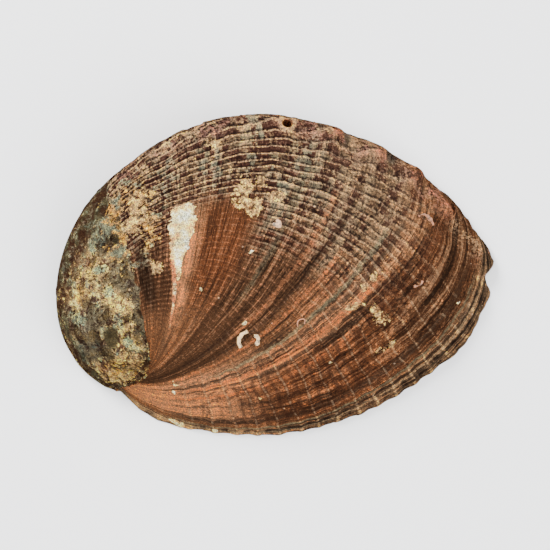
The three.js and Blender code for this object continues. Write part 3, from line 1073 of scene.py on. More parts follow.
@dataclass(frozen=True)
class SkinFinish:
    """The outside of the shell: red-brown, ribbed, worn and crusted.

    The ground is clay brown. The seasons are laid over it in order: the pale fan at the seam, the
    dark year behind it, the red-brown front, the smooth red patch and the drab part by the pores.
    Everything else is laid over them.
    """

    seasons: tuple[Season, ...] = (
        Season(Tone.FAWN, 1.1, 2.5, -0.5, 0.3, 0.85),
        Season(Tone.FAWN, 1.8, 2.3, 0.2, 0.7, 0.45),
        Season(Tone.RUSSET, 0.9, 1.8, 0.3, 1.1, 0.75),
        Season(Tone.UMBER, 1.0, 1.6, 0.7, 3.0, 0.7),
        Season(Tone.UMBER, 2.7, 3.9, -0.5, 0.75, 0.85),
        Season(Tone.DRAB, 2.2, 9.0, 0.72, 9.0, 0.85),
        Season(Tone.RUSSET, 3.8, 4.6, 0.35, 0.75, 0.9),
        Season(Tone.FAWN, 4.7, 5.0, 0.1, 0.6, 0.6),
        Season(Tone.UMBER, 5.1, 6.0, 0.28, 0.72, 0.9),
        Season(Tone.DRAB, -9.0, 0.8, 0.3, 9.0, 0.85),
        Season(Tone.STRAW, -9.0, 0.8, -0.5, 0.32, 0.75),
    )
    lines: tuple[Line, ...] = (
        Line(Tone.STRAW, 0.55, 0.03, 0.05, 0.95, 0.5),
        Line(Tone.BARK, 0.68, 0.04, 0.02, 0.9, 0.7),
        Line(Tone.MOSS, 0.86, 0.03, 0.1, 0.95, 0.6),
        Line(Tone.BARK, 1.08, 0.04, 0.1, 0.95, 0.7),
        Line(Tone.EMBER, 1.7, 0.03, 0.1, 0.6, 0.6),
        Line(Tone.BARK, 1.9, 0.025, 0.1, 0.7, 0.5),
        Line(Tone.EMBER, 1.99, 0.04, 0.12, 0.75, 0.55),
        Line(Tone.BARK, 2.14, 0.03, 0.05, 0.9, 0.6),
        Line(Tone.MOSS, 2.27, 0.03, 0.2, 0.85, 0.6),
        Line(Tone.EMBER, 2.58, 0.03, 0.1, 0.7, 0.5),
        Line(Tone.BARK, 2.76, 0.03, 0.1, 0.85, 0.6),
        Line(Tone.STRAW, 2.66, 0.05, 0.62, 1.0, 0.6),
        Line(Tone.STRAW, 2.86, 0.04, 0.66, 1.0, 0.5),
        Line(Tone.EMBER, 2.97, 0.04, 0.3, 0.85, 0.5),
        Line(Tone.BARK, 3.1, 0.06, 0.02, 0.3, 0.7),
        Line(Tone.MOSS, 3.4, 0.05, 0.4, 0.9, 0.4),
        Line(Tone.FAWN, 4.05, 0.08, 0.0, 0.25, 0.6),
        Line(Tone.BARK, 4.62, 0.03, 0.02, 0.3, 0.5),
    )
    worn_tones: Ramp = (
        (0.34, seen(74, 56, 32)),
        (0.42, seen(134, 116, 80)),
        (0.48, seen(172, 154, 118)),
        (0.56, seen(196, 180, 144)),
        (0.64, seen(224, 212, 180)),
    )
    crust_tones: Ramp = (
        (0.36, seen(78, 54, 36)),
        (0.44, seen(146, 124, 88)),
        (0.5, seen(190, 164, 122)),
        (0.58, seen(216, 190, 142)),
        (0.68, seen(234, 216, 176)),
    )
    chalk_tones: Ramp = (
        (0.38, seen(112, 84, 56)),
        (0.45, seen(174, 148, 112)),
        (0.52, seen(206, 184, 146)),
        (0.62, seen(230, 214, 182)),
    )
    scar_tones: Ramp = (
        (0.34, seen(204, 178, 144)),
        (0.42, seen(226, 206, 176)),
        (0.52, seen(236, 222, 198)),
        (0.64, seen(242, 234, 218)),
    )
    shadow: Colour = seen(38, 22, 16)
    maroon: Colour = seen(74, 34, 26)
    peach: Colour = seen(216, 168, 134)
    tan: Colour = seen(220, 182, 144)
    orange: Colour = seen(222, 176, 134)
    ember: Colour = seen(204, 138, 106)
    pink: Colour = seen(196, 152, 134)
    bark: Colour = seen(74, 38, 20)
    stone: Colour = seen(216, 196, 162)
    moss: Colour = seen(150, 148, 118)
    cream: Colour = seen(228, 212, 174)
    ochre: Colour = seen(214, 176, 108)
    bone: Colour = seen(226, 210, 188)
    olive: Colour = seen(104, 90, 56)
    lagoon: Colour = seen(142, 166, 156)
    narrow_lift: float = 0.17

    def make(self) -> bpy.types.Material:
        """Builds the material.

        Returns:
            The finished material.
        """
        g = Graph("weathered_skin")
        on = self._weave(g)
        colour = self._seasons(g, on)
        for layer in (
            self._bricks, self._margin, self._tones, self._sheaf, self._pauses, self._cord_highlight_and_shade,
            self._lattice, self._ridge, self._spire, self._crust, self._scar, self._lime,
            self._specks,
        ):
            colour = layer(g, on, colour)
        grit = g.noise(on.place, 3400, 2, 0.8)
        colour = g.scaled(colour, g.sum_of(1.0, g.times(g.centred(grit), 1.5)))
        return g.finish(
            Base_Color=PRINT.develop(g, colour),
            Roughness=g.sum_of(0.5, g.times(on.soft, 0.3)),
            Normal=g.bump(self._height(g, on, grit), 0.0007),
            Specular_IOR_Level=0.0,
        )

    def _weave(self, g: Graph) -> Weave:
        """Makes the values that the colours are mixed from."""
        stage, cord, across = (g.attribute(name) for name in ("stage", "cord", "across"))
        place = g.place()
        soft, fine = g.noise(place, 260, 4), g.noise(place, 1500, 4, 0.7)
        coarse = g.noise(place, 700, 5, 0.78)
        lines = self._lines(g, stage, cord, across)
        wavy = g.stirred(cord, soft, 0.35)
        return Weave(
            place=place,
            stage=stage,
            across=across,
            wavy=wavy,
            soft=soft,
            fine=fine,
            coarse=coarse,
            lines=lines,
            spirals=g.noise(g.vector(g.times(stage, 0.5), g.times(cord, 2.2)), 1.0, 4, 0.7),
            swirls=g.noise(g.warped(place, 200, 0.006), 210, 5, 0.6),
            chance=self._chance(g, stage, wavy, soft, lines),
            rough=g.sum_of(g.times(g.centred(fine), 1.2), g.times(g.centred(coarse), 2.2)),
        )

    def _lines(self, g: Graph, stage: Socket, cord: Socket, across: Socket) -> Socket:
        """Long thin lines along the former edges, wider apart where the edges run together."""
        wide = self._stripes(g, stage, cord, ((9.0, 0.05, 0.36), (27.0, 0.1, 0.38), (64.0, 0.24, 0.26)))
        narrow = self._stripes(g, stage, cord, ((9.0, 0.08, 0.32), (24.0, 0.14, 0.34)))
        return g.blend(g.step(across, 0.15, 0.42), g.sum_of(narrow, self.narrow_lift), wide)

    def _stripes(
        self, g: Graph, stage: Socket, cord: Socket, layers: Sequence[tuple[float, float, float]]
    ) -> Socket:
        """Adds up layers of noise along the former edges.

        Each layer is how often it changes per stage and per cord, and its weight.
        """
        total = 0.0
        for often, short, weight in layers:
            spot = g.vector(g.times(stage, often), g.times(cord, short), often)
            total = g.sum_of(total, g.times(g.noise(spot, 1.0, 2, 0.7), weight))
        return total

    def _chance(self, g: Graph, stage: Socket, wavy: Socket, soft: Socket, lines: Socket) -> Socket:
        """A random number for each short stretch of cord."""
        column = g.sum_of(g.times(stage, 13.0), g.times(g.centred(soft), 4.0))
        column = g.stirred(column, lines, 3.0)
        return g.chance(g.math("FLOOR", column), g.math("FLOOR", wavy))

    def _upper(self, g: Graph, on: Weave) -> Socket:
        """1 in the upper part, where the cords are strong."""
        height = g.sum_of(on.across, g.times(g.step(on.stage, 3.7, 2.9), -0.08))
        upper = g.times(g.step(height, 0.46, 0.68), g.step(on.stage, 1.3, 2.6))
        return g.times(upper, g.math("SUBTRACT", 1.0, g.attribute("calm")))

    def _older(self, g: Graph, on: Weave) -> Socket:
        """1 on the older half of the skin, where the cords are stronger."""
        return g.step(on.stage, 2.9, 3.8)

    def _seasons(self, g: Graph, on: Weave) -> Socket:
        """The ground colour with the seasons' colours over it, each with ragged limits."""
        ragged = g.stirred(on.stage, on.soft, 0.35)
        ragged = g.stirred(ragged, on.lines, 0.25)
        colour = Tone.CLAY.value
        for season in self.seasons:
            along = g.band(ragged, season.newest, season.oldest, 0.35)
            athwart = g.band(on.across, season.low, season.high, 0.2)
            colour = g.mix(g.times(along, athwart, season.weight), colour, season.tone.value)
        return colour

    def _bricks(self, g: Graph, on: Weave, colour: Value) -> Socket:
        """Short stretches of cord that are darker, mossy or bare."""
        ragged = g.stirred(on.chance, on.fine, 1.8)
        upper, older = self._upper(g, on), self._older(g, on)
        lower = g.times(g.math("SUBTRACT", 1.0, upper), g.band(on.across, 0.15, 0.9, 0.1))
        lower = g.times(lower, g.step(on.stage, 2.6, 2.0))
        colour = g.mix(g.times(lower, g.step(ragged, 0.34, 0.2), 0.36), colour, self.bark)
        colour = g.mix(g.times(lower, g.step(ragged, 0.8, 0.92), 0.35), colour, self.orange)
        dark = g.times(upper, g.step(ragged, 0.52, 0.4), g.blend(older, 0.6, 0.75))
        colour = g.mix(dark, colour, self.maroon)
        columns = g.noise(g.vector(g.times(on.stage, 2.6), g.times(on.wavy, 0.07), 3.0), 1.0, 3)
        bare = g.stirred(ragged, columns, 3.2)
        tint = g.mix(g.step(on.soft, 0.44, 0.56), self.stone, self.moss)
        tint = g.mix(g.times(g.step(columns, 0.54, 0.6), 0.55), tint, self.lagoon)
        tint = g.mix(g.times(g.step(on.stage, 3.5, 2.7), 0.65), tint, self.tan)
        pale = g.times(upper, g.step(bare, 0.74, 0.9), g.blend(older, 0.36, 0.6))
        return g.mix(pale, colour, tint)

    def _margin(self, g: Graph, on: Weave, colour: Value) -> Socket:
        """Painted shade in the gaps between the ribs, and pale tops of the ribs, along the present
        edge.
        """
        margin, half = g.step(on.stage, 0.9, 0.7), g.times(on.wavy, 0.5)
        # Painted shade in the grooves between the ribs.
        gaps = g.times(g.near(half, 0.0, 0.2), margin, g.step(on.lines, 0.56, 0.46))
        colour = g.mix(g.times(gaps, 0.55), colour, self.shadow)
        tops = g.times(g.near(half, 0.5, 0.12), margin, g.step(on.lines, 0.46, 0.54))
        return g.mix(g.times(tops, 0.65), colour, self.stone)

    def _tones(self, g: Graph, on: Weave, colour: Value) -> Socket:
        """Fine lights and darks along the growth lines and the cords."""
        cross = g.sum_of(g.times(on.spirals, 0.3), g.times(on.fine, 0.3))
        cross = g.sum_of(g.times(on.lines, 0.4), cross)
        along = g.sum_of(g.times(on.lines, 0.8), g.times(on.fine, 0.2))
        value = g.blend(self._upper(g, on), along, cross)
        dark = g.times(g.step(value, 0.5, 0.43), g.blend(g.step(on.across, 0.2, 0.5), 0.42, 0.95))
        tint = g.mix(g.step(on.across, 0.5, 0.78), self.tan, self.stone)
        pale = g.mix(0.6, g.scaled(colour, 1.35), tint)
        rough = g.math("SUBTRACT", 1.0, g.times(g.attribute("calm"), 0.3))
        lit = g.mix(g.times(g.step(value, 0.505, 0.57), 0.75, rough), colour, pale)
        return g.mix(g.times(dark, 0.88, rough), lit, g.scaled(colour, 0.38))

    def _sheaf(self, g: Graph, on: Weave, colour: Value) -> Socket:
        """The bundle of orange lines that fans out from the seam."""
        bundle = g.times(g.band(on.stage, 1.84, 2.16, 0.1), g.band(on.across, 0.1, 0.72, 0.12))
        lit = g.times(g.step(on.lines, 0.48, 0.53), bundle, 0.6)
        colour = g.mix(lit, colour, self.orange)
        return g.mix(g.times(g.step(on.lines, 0.45, 0.41), bundle, 0.6), colour, self.bark)

    def _pauses(self, g: Graph, on: Weave, colour: Value) -> Socket:
        """The stronger lines along some former edges."""
        ragged = g.stirred(on.stage, on.soft, 0.12)
        broken = g.step(on.fine, 0.36, 0.5)
        for line in self.lines:
            along = g.band(ragged, line.stage - line.half, line.stage + line.half, line.half)
            athwart = g.band(on.across, line.low, line.high, 0.08)
            colour = g.mix(g.times(along, athwart, broken, line.weight), colour, line.tone.value)
        return colour

    def _cord_highlight_and_shade(self, g: Graph, on: Weave, colour: Value) -> Socket:
        """Painted highlight on the upper edges and painted shade on the lower edges of the cords, in
        the upper part, as if lit from above.
        """
        upper = self._upper(g, on)
        highlight_and_shade_breaks = g.sum_of(g.times(on.lines, 0.5), g.times(on.fine, 0.5))
        # Painted highlight along each cord's upper edge.
        pale = g.times(g.near(on.wavy, 0.88, 0.22), upper, g.step(highlight_and_shade_breaks, 0.4, 0.53))
        colour = g.mix(g.times(pale, g.blend(self._older(g, on), 0.6, 0.85)), colour, self.stone)
        # Painted shade along each cord's lower edge.
        dark = g.times(g.near(on.wavy, 0.12, 0.16), upper, g.step(highlight_and_shade_breaks, 0.6, 0.46))
        weight = g.sum_of(0.5, g.times(g.step(on.stage, 3.0, 3.8), 0.25))
        return g.mix(g.times(dark, weight), colour, self.shadow)

    def _lattice(self, g: Graph, on: Weave, colour: Value) -> Socket:
        """Thin pale lines on the cords of the middle and on the ribs towards the front lip."""
        broken = g.step(g.sum_of(g.times(on.lines, 0.7), g.times(on.fine, 0.3)), 0.45, 0.54)
        middle = g.times(g.band(on.stage, 2.4, 6.0, 0.4), g.band(on.across, 0.25, 0.72, 0.15))
        thin = g.times(g.near(on.wavy, 0.5, 0.14), middle, broken)
        colour = g.mix(g.times(thin, 0.4), colour, self.peach)
        gaps = g.times(g.near(on.wavy, 0.0, 0.25), middle, g.step(on.stage, 4.9, 5.2))
        colour = g.mix(g.times(gaps, 0.5), colour, self.bark)
        ribs = g.times(g.band(on.stage, 1.0, 1.84, 0.15), g.band(on.across, 0.22, 0.62, 0.15))
        bars = g.times(g.near(on.wavy, 0.0, 0.3), ribs, g.step(on.fine, 0.42, 0.54))
        colour = g.mix(g.times(bars, 0.48), colour, self.bark)
        front = g.times(g.step(on.stage, 3.2, 2.0), g.band(on.across, 0.1, 0.9, 0.15))
        crest = g.times(g.near(g.times(on.wavy, 0.5), 0.5, 0.08), front, broken)
        return g.mix(g.times(crest, 0.5), colour, self.stone)

    def _ridge(self, g: Graph, on: Weave, colour: Value) -> Socket:
        """The orange and pink colours of the pore row."""
        spots = g.times(g.step(on.soft, 0.44, 0.56), g.step(on.fine, 0.4, 0.56))
        keel = g.times(g.attribute("keel"), spots)
        tone = g.mix(g.step(g.noise(on.place, 80, 3), 0.46, 0.56), self.pink, self.stone)
        colour = g.mix(g.times(keel, 0.7), colour, tone)
        tip = g.times(g.attribute("tip"), g.step(on.soft, 0.36, 0.5))
        return g.mix(g.times(tip, 0.45), colour, self.ember)

    def _spire(self, g: Graph, on: Weave, colour: Value) -> Socket:
        """The worn spire."""
        bare = self._mottle(g, on.swirls, g.noise(on.place, 420, 4, 0.6), on.soft, self.worn_tones)
        folds = g.times(on.swirls, 9.0)
        creases = g.times(g.near(folds, 0.0, 0.2), g.step(on.fine, 0.4, 0.54), 0.7)
        bare = g.mix(creases, bare, self.bark)
        bare = g.mix(g.times(g.near(folds, 0.3, 0.16), 0.55), bare, self.cream)
        patches = g.step(g.noise(on.place, 130, 3), 0.42, 0.58)
        bare = g.scaled(bare, g.sum_of(0.72, g.times(patches, 0.36)))
        rim = g.times(g.band(on.across, 0.86, 1.5, 0.16), g.step(on.coarse, 0.58, 0.5), 0.75)
        bare = g.mix(rim, bare, g.mix(g.step(on.soft, 0.46, 0.58), self.bark, self.olive))
        edge = g.sum_of(g.times(on.rough, 0.5), g.times(g.centred(on.soft), 1.6))
        level = g.attribute("worn")
        worn = g.step(g.sum_of(level, edge), 0.3, 0.6)
        return g.mix(g.times(worn, g.step(level, 0.02, 0.3)), colour, bare)

    def _crust(self, g: Graph, on: Weave, colour: Value) -> Socket:
        """The cream crust between the spire and the pore row."""
        lime = self._mottle(g, on.coarse, on.fine, on.soft, self.crust_tones)
        reach = g.sum_of(g.times(on.rough, 1.2), g.times(g.centred(on.spirals), 2.2))
        reach = g.stirred(reach, on.soft, 1.4)
        return self._cover(g, colour, lime, "crust", reach, 0.78)

    def _scar(self, g: Graph, on: Weave, colour: Value) -> Socket:
        """The white scar, the orange flush beside it and its thin tail."""
        flush = g.times(g.attribute("flush"), g.step(on.soft, 0.3, 0.6), 0.7)
        colour = g.mix(flush, colour, self.orange)
        white = self._white(g, on)
        reach = g.sum_of(g.times(on.rough, 0.7), g.times(g.centred(on.spirals), 1.8))
        colour = self._cover(g, colour, white, "scar", reach, 0.95)
        bent = g.sum_of(g.times(on.across, -0.95), g.times(g.centred(on.soft), 0.1))
        bent = g.sum_of(on.stage, bent)
        tail = g.times(g.band(bent, 4.67, 4.76, 0.04), g.band(on.across, 0.2, 0.5, 0.06))
        warm = g.mix(g.step(on.soft, 0.44, 0.56), self.peach, white)
        return g.mix(g.times(tail, g.step(on.fine, 0.36, 0.48), 0.9), colour, warm)

    def _white(self, g: Graph, on: Weave) -> Socket:
        """The white of the scar, with a little blue-green in it."""
        white = g.ramp(g.noise(on.place, 430, 4, 0.55), self.scar_tones)
        return g.mix(g.times(g.step(on.soft, 0.54, 0.62), 0.25), white, self.lagoon)

    def _lime(self, g: Graph, on: Weave, colour: Value) -> Socket:
        """The basin at the spire's tip, the lumps of lime, the pale pore rim, the dark band by the
        spire and the painted shade beside two pores.
        """
        pit = g.times(g.step(g.attribute("pit"), 0.3, 0.7), 0.8)
        colour = g.mix(pit, colour, self.olive)
        reach = g.stirred(on.rough, on.chance, 0.5)
        reach = g.stirred(reach, on.soft, 1.6)
        chalk = g.ramp(on.coarse, self.chalk_tones)
        colour = self._cover(g, colour, chalk, "chalk", reach, 0.62)
        colour = self._cover(g, colour, self._white(g, on), "white", on.rough, 0.75)
        ring = g.times(g.attribute("ring"), g.step(on.fine, 0.38, 0.5), 0.8)
        colour = g.mix(ring, colour, self.stone)
        # Darkens the dark band by the spire and paints shade on the sides of two pores.
        return g.mix(g.times(g.attribute("dusk"), 0.5), colour, g.scaled(colour, 0.35))

    def _mottle(self, g: Graph, main: Socket, minor: Socket, soft: Socket, tones: Ramp) -> Socket:
        """A rough surface of many lights and darks, with yellow, green and red in it.

        The main noise picks the tone, the minor one adds cream and maroon, and the soft one
        adds blue-green and ochre.
        """
        colour = g.ramp(main, tones)
        colour = g.mix(g.times(g.step(soft, 0.52, 0.58), 0.55), colour, self.lagoon)
        colour = g.mix(g.times(g.step(soft, 0.46, 0.4), 0.55), colour, self.ochre)
        colour = g.mix(g.times(g.step(minor, 0.54, 0.62), 0.4), colour, self.cream)
        return g.mix(g.times(g.step(minor, 0.46, 0.38), 0.55), colour, self.maroon)

    def _cover(
        self, g: Graph, colour: Value, cover: Value, mark: str, grit: Socket, weight: float
    ) -> Socket:
        """Lays a colour over another where a mark of the mesh is high, with a gritty edge.

        The weight says how far the mark counts against the grit that breaks the edge.
        """
        level = g.attribute(mark)
        laid = g.step(g.sum_of(g.times(level, weight), grit), 0.4, 0.6)
        return g.mix(g.times(laid, g.step(level, 0.02, 0.2)), colour, cover)

    def _specks(self, g: Graph, on: Weave, colour: Value) -> Socket:
        """Small white specks of lime, scattered."""
        cells = g.cells(on.place, 330)
        chosen = g.step(g.noise(cells.outputs["Position"], 900, 0), 0.6, 0.62)
        near = g.step(cells.outputs["Distance"], 0.11, 0.06)
        return g.mix(g.times(chosen, near, 0.7), colour, self.bone)

    def _height(self, g: Graph, on: Weave, grit: Socket) -> Socket:
        """Fine relief that is too small for the mesh."""
        worn = g.attribute("worn")
        height = g.sum_of(g.times(on.lines, 0.9), g.times(on.spirals, 0.5))
        height = g.sum_of(height, g.sum_of(g.times(grit, 0.4), g.times(on.swirls, worn, 2.2)))
        return g.sum_of(height, g.times(on.fine, g.sum_of(0.55, g.times(worn, 0.9))))


@dataclass(frozen=True)
class PearlFinish:
    """The mother of pearl inside the shell."""

    silver: Colour = seen(206, 208, 204)
    rose: Colour = seen(222, 186, 190)
    green: Colour = seen(160, 204, 186)
    sky: Colour = seen(168, 190, 216)
    honey: Colour = seen(206, 186, 150)

    def make(self) -> bpy.types.Material:
        """Builds the material."""
        g = Graph("mother_of_pearl")
        stage, cord = g.attribute("stage"), g.attribute("cord")
        place = g.place()
        drift = g.noise(place, 70, 3)
        waves = g.noise(g.vector(g.times(stage, 1.6), g.times(cord, 0.12)), 1.0, 4)
        shift = g.sum_of(g.times(waves, 0.7), g.times(drift, 0.45))
        stops = (
            (0.36, self.silver),
            (0.44, self.green),
            (0.5, self.sky),
            (0.56, self.rose),
            (0.62, self.silver),
            (0.68, self.green),
            (0.76, self.rose),
        )
        colour = g.ramp(shift, stops)
        colour = g.mix(0.5, colour, self.silver)
        stain = g.times(g.step(g.noise(place, 160, 4), 0.56, 0.72), 0.35)
        colour = g.mix(stain, colour, self.honey)
        height = g.sum_of(g.times(waves, 0.7), g.times(g.noise(place, 420, 3), 0.4))
        return g.finish(
            Base_Color=PRINT.develop(g, colour),
            Metallic=0.45,
            Roughness=g.sum_of(0.16, g.times(drift, 0.22)),
            Normal=g.bump(height, 0.0002),
            Coat_Weight=0.5,
            Coat_Roughness=0.12,
        )


@dataclass(frozen=True)
class EdgeFinish:
    """The cut edge of the shell wall: thin layers, brown outside and pearly inside."""

    name: str
    outer: Colour
    inner: Colour

    def make(self) -> bpy.types.Material:
        """Builds the material."""
        g = Graph(self.name)
        place = g.place()
        layers = g.noise(place, 600, 4)
        colour = g.mix(g.step(layers, 0.4, 0.6), self.outer, self.inner)
        return g.finish(
            Base_Color=PRINT.develop(g, colour),
            Roughness=g.sum_of(0.35, g.times(layers, 0.3)),
            Normal=g.bump(layers, 0.00012),
        )


@dataclass(frozen=True)
class FloorFinish:
    """The plain pale floor."""

    colour: Colour = seen(246, 246, 245)

    def make(self) -> bpy.types.Material:
        """Builds the material."""
        return Graph("pale_floor").finish(
            Base_Color=PRINT.paint(self.colour), Roughness=0.9, Specular_IOR_Level=0.1
        )


class Layer(Enum):
    """The shell's surfaces, each with its own finish, in the order of its material slots."""

    SKIN = 0
    EDGE = 1
    PEARL = 2


@dataclass(frozen=True)
class Fit:
    """The way from millimetres to the frame, which fills the node's box with the shell.

    Attributes:
        low: The shell's lowest corner, in metres.
        span: Its size.
        target_low: The lowest corner of the node's box.
        target_span: The size of the box.
    """

    low: Array
    span: Array
    target_low: Array
    target_span: Array

    @classmethod
    def of(cls, points: Array, node: str) -> "Fit":
        """The way that fits places in millimetres to a CAD node's box."""
        low, high = (np.array(corner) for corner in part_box(node))
        return cls(points.min(axis=0) * MM, np.ptp(points, axis=0) * MM, low, high - low)

    def place(self, points: Array) -> Array:
        """Places in millimetres turned into the frame's metres."""
        return self.target_low + (points * MM - self.low) / self.span * self.target_span


@dataclass
class Shell:
    """The whole shell: a closed skin over rings that run from the crown, over the edge and up
    under the dome.

    Attributes:
        sectors: Points round each ring.
        outer_rings: Rings on the outer dome.
        edge_rings: Rings across the flat edge.
        inner_rings: Rings on the hollow's roof.
    """

    sectors: int = 432
    outer_rings: int = 168
    edge_rings: int = 8
    inner_rings: int = 40
    lip_round: float = 0.35
    pore_radius: float = 1.15
    collar_radius: float = 1.3
    collar_slope: float = 1.2
    collar_reach: float = 12.0
    fold_rise: float = 6.5
    fold_fall: float = 1.9
    fold_width: float = 2.4
    saddle_depth: float = 0.4
    saddle_place: float = 4.6
    notch_place: Spot = (49.0, 1.6)
    notch_height: float = 1.7
    notch_width: float = 2.1
    drill_length: float = 14.0
    dome: Dome = Dome()
    growth: Growth = Growth()
    relief: Relief = Relief()
    pores: tuple[Pore, ...] = (
        Pore((3.2, 33.7), PoreKind.OPEN, 0.7, 2.2),
        Pore((14.0, 31.6), PoreKind.OPEN, 1.5, 0.35),
        Pore((23.8, 27.2), PoreKind.OPEN, 1.6, 0.0),
        Pore((32.0, 22.3), PoreKind.OPEN, 1.5, 0.0),
        Pore((39.8, 14.8), PoreKind.OPEN, 1.4, 0.0),
        Pore((-6.7, 35.0), PoreKind.FILLED, 0.8),
        Pore((-15.1, 33.2), PoreKind.FILLED, 0.8),
        Pore((-22.4, 30.2), PoreKind.FILLED, 0.7),
        Pore((-28.4, 26.8), PoreKind.FILLED, 0.6),
        Pore((-33.4, 23.4), PoreKind.FILLED, 0.5),
    )

    @property
    def rings(self) -> int:
        """Rings in all, without the two poles."""
        return self.outer_rings + self.edge_rings + self.inner_rings

    def build(self, node: str) -> bpy.types.Object:
        """Makes the shell in the place of its CAD node.

        Args:
            node: The CAD node that it takes the place of.

        Returns:
            The shell.
        """
        shell, ring, sector = self._blank()
        grid = self._smooth_grid()
        skin = self._survey(grid)
        grid = self._sculpt(grid, skin)
        points = self._spread(grid, ring, sector)
        fit = Fit.of(points, node)
        shell.data.vertices.foreach_set("co", fit.place(points).ravel())
        self._layers(shell, ring)
        marks = self._marks(skin, ring, sector)
        self._keep_marks(shell, marks)
        self._drill(shell, fit)
        shell.data.update()
        return shell

    def _blank(self) -> tuple[bpy.types.Object, Array, Array]:
        """A sphere with the right rings and sectors.

        Returns:
            The sphere, and the ring and the sector of each of its points. Ring 0 is the pole at
            the crown.
        """
        select_none()
        bpy.ops.mesh.primitive_uv_sphere_add(
            segments=self.sectors, ring_count=self.rings + 1, radius=1.0, calc_uvs=False
        )
        sphere = bpy.context.object
        sphere.name = sphere.data.name = "abalone_shell"
        spots = np.zeros(len(sphere.data.vertices) * 3)
        sphere.data.vertices.foreach_get("co", spots)
        spots = spots.reshape(-1, 3)
        polar = np.arccos(np.clip(spots[:, 2], -1, 1))
        ring = np.rint(polar / (math.pi / (self.rings + 1))).astype(int)
        angle = np.mod(np.arctan2(spots[:, 1], spots[:, 0]), TURN)
        sector = np.rint(angle / (TURN / self.sectors)).astype(int) % self.sectors
        return sphere, ring, sector

    def _smooth_grid(self) -> Array:
        """The shell with no relief, as an array of rings by sectors by coordinates."""
        azimuth = np.arange(self.sectors) * TURN / self.sectors
        around = azimuth[:, None]
        outer = self.dome.outer(
            around, self.dome.even_shares(self.dome.outer, azimuth, self.outer_rings)
        )
        inner_shares = self.dome.even_shares(self.dome.inner, azimuth, self.inner_rings + 1)
        inner = self.dome.inner(around, inner_shares[:, -2::-1])
        return np.concatenate([outer, self._edge(azimuth), inner], axis=1).transpose(1, 0, 2)

    def _edge(self, azimuth: Array) -> Array:
        """The flat edge that the shell rests on, from its outer corner to the hollow."""
        shares = np.linspace(0, 1, self.edge_rings + 1)[1:]
        ledge = self.dome.ledge(azimuth)[:, None]
        reach = self.dome.radius(azimuth)[:, None] - shares * ledge
        rise = self.dome.ledge_rise(azimuth)[:, None] * ease((shares - 0.62) / 0.38)
        x = self.dome.crown[0] + reach * np.cos(azimuth)[:, None]
        y = self.dome.crown[1] + reach * np.sin(azimuth)[:, None]
        return np.stack([x, y, np.broadcast_to(rise, x.shape)], axis=-1)

    def _survey(self, grid: Array) -> Skin:
        """Finds the growth stage and the rib count at every point of the grid."""
        points = grid.reshape(-1, 3)
        stage, across, length = self.growth.locate(points[:, 0], points[:, 1])
        side = self._side_distance(grid, across.reshape(grid.shape[:2]))
        count = self.relief.cords * (1 + self.relief.cord_gain * (np.clip(stage, 0, 8) - 3))
        down = count + side / self.relief.side_spacing
        cord = np.where(side > 0, down, count * np.minimum(across, 1))
        cord += 0.22 * Grain(41).layers(points, 6.0, 3)
        return Skin(points, stage, across, length, cord, side)

    def _side_distance(self, grid: Array, across: Array) -> Array:
        """Distance down the steep side from the pore row, and 0 above it."""
        outer = grid[: self.outer_rings]
        steps = np.linalg.norm(np.diff(outer, axis=0), axis=2)
        run = np.concatenate([np.zeros((1, self.sectors)), np.cumsum(steps, axis=0)])
        past = across[: self.outer_rings] >= 1
        last_inside = self.outer_rings - 1 - np.argmax(~past[::-1], axis=0)
        start = np.take_along_axis(run, last_inside[None, :], axis=0)
        side = np.zeros(grid.shape[:2])
        side[: self.outer_rings] = np.where(past, np.maximum(run - start, 0), 0)
        side[self.outer_rings :] = side[self.outer_rings - 1]
        return side.ravel()

    def _outward(self, grid: Array) -> Array:
        """Outward directions of the smooth grid."""
        down = np.gradient(grid, axis=0)
        around = np.roll(grid, -1, axis=1) - np.roll(grid, 1, axis=1)
        out = np.cross(down, around)
        return out / np.maximum(np.linalg.norm(out, axis=2, keepdims=True), 1e-9)

    def _sculpt(self, grid: Array, skin: Skin) -> Array:
        """Adds the relief, the pores' collars and the notch to the grid.

        Args:
            grid: The smooth shell, as rings by sectors by coordinates.
            skin: What is known about its points.

        Returns:
            The shell with its relief, in the same order.
        """
        out = self._outward(grid)
        height = self.relief.outer(skin).reshape(grid.shape[:2])
        azimuth = np.arange(self.sectors) * TURN / self.sectors
        wide = (self.dome.ledge(azimuth) > 3)[None, :]
        calm = np.where(wide, ease(grid[:, :, 2] / 4), 1.0)
        made = grid.copy()
        outer = slice(0, self.outer_rings)
        made[outer] += out[outer] * (height * calm)[outer, :, None]
        made[outer, :, 2] = np.maximum(made[outer, :, 2], self.lip_round)
        shift = made[self.outer_rings - 1, :, :2] - grid[self.outer_rings - 1, :, :2]
        fade = np.linspace(1, 0, self.edge_rings + 1)[:-1, None, None]
        rim = slice(self.outer_rings, self.outer_rings + self.edge_rings)
        made[rim, :, :2] += shift[None] * fade
        inside = slice(self.outer_rings + self.edge_rings, None)
        roof = self._roof_relief(skin).reshape(grid.shape[:2])
        made[inside] += out[inside] * roof[inside, :, None]
        points = made.reshape(-1, 3)
        for pore in self.pores:
            self._raise_collar(points, pore)
        self._raise_notch(points)
        return points.reshape(grid.shape)

    def _roof_relief(self, skin: Skin) -> Array:
        """Gentle relief of the hollow: a groove under the pore row, a seam and slow waves."""
        away = (skin.across - 1) * skin.length
        groove = -0.5 * hill(away, 2.6) * (skin.stage < 6)
        seam = 0.9 * np.exp(-np.abs(skin.across) * skin.length / 1.6) * (skin.stage < 16)
        waves = 0.22 * Grain(5).at(skin.points, 9.0) + 0.08 * Grain(6).at(skin.points, 3.0)
        return groove + seam + waves

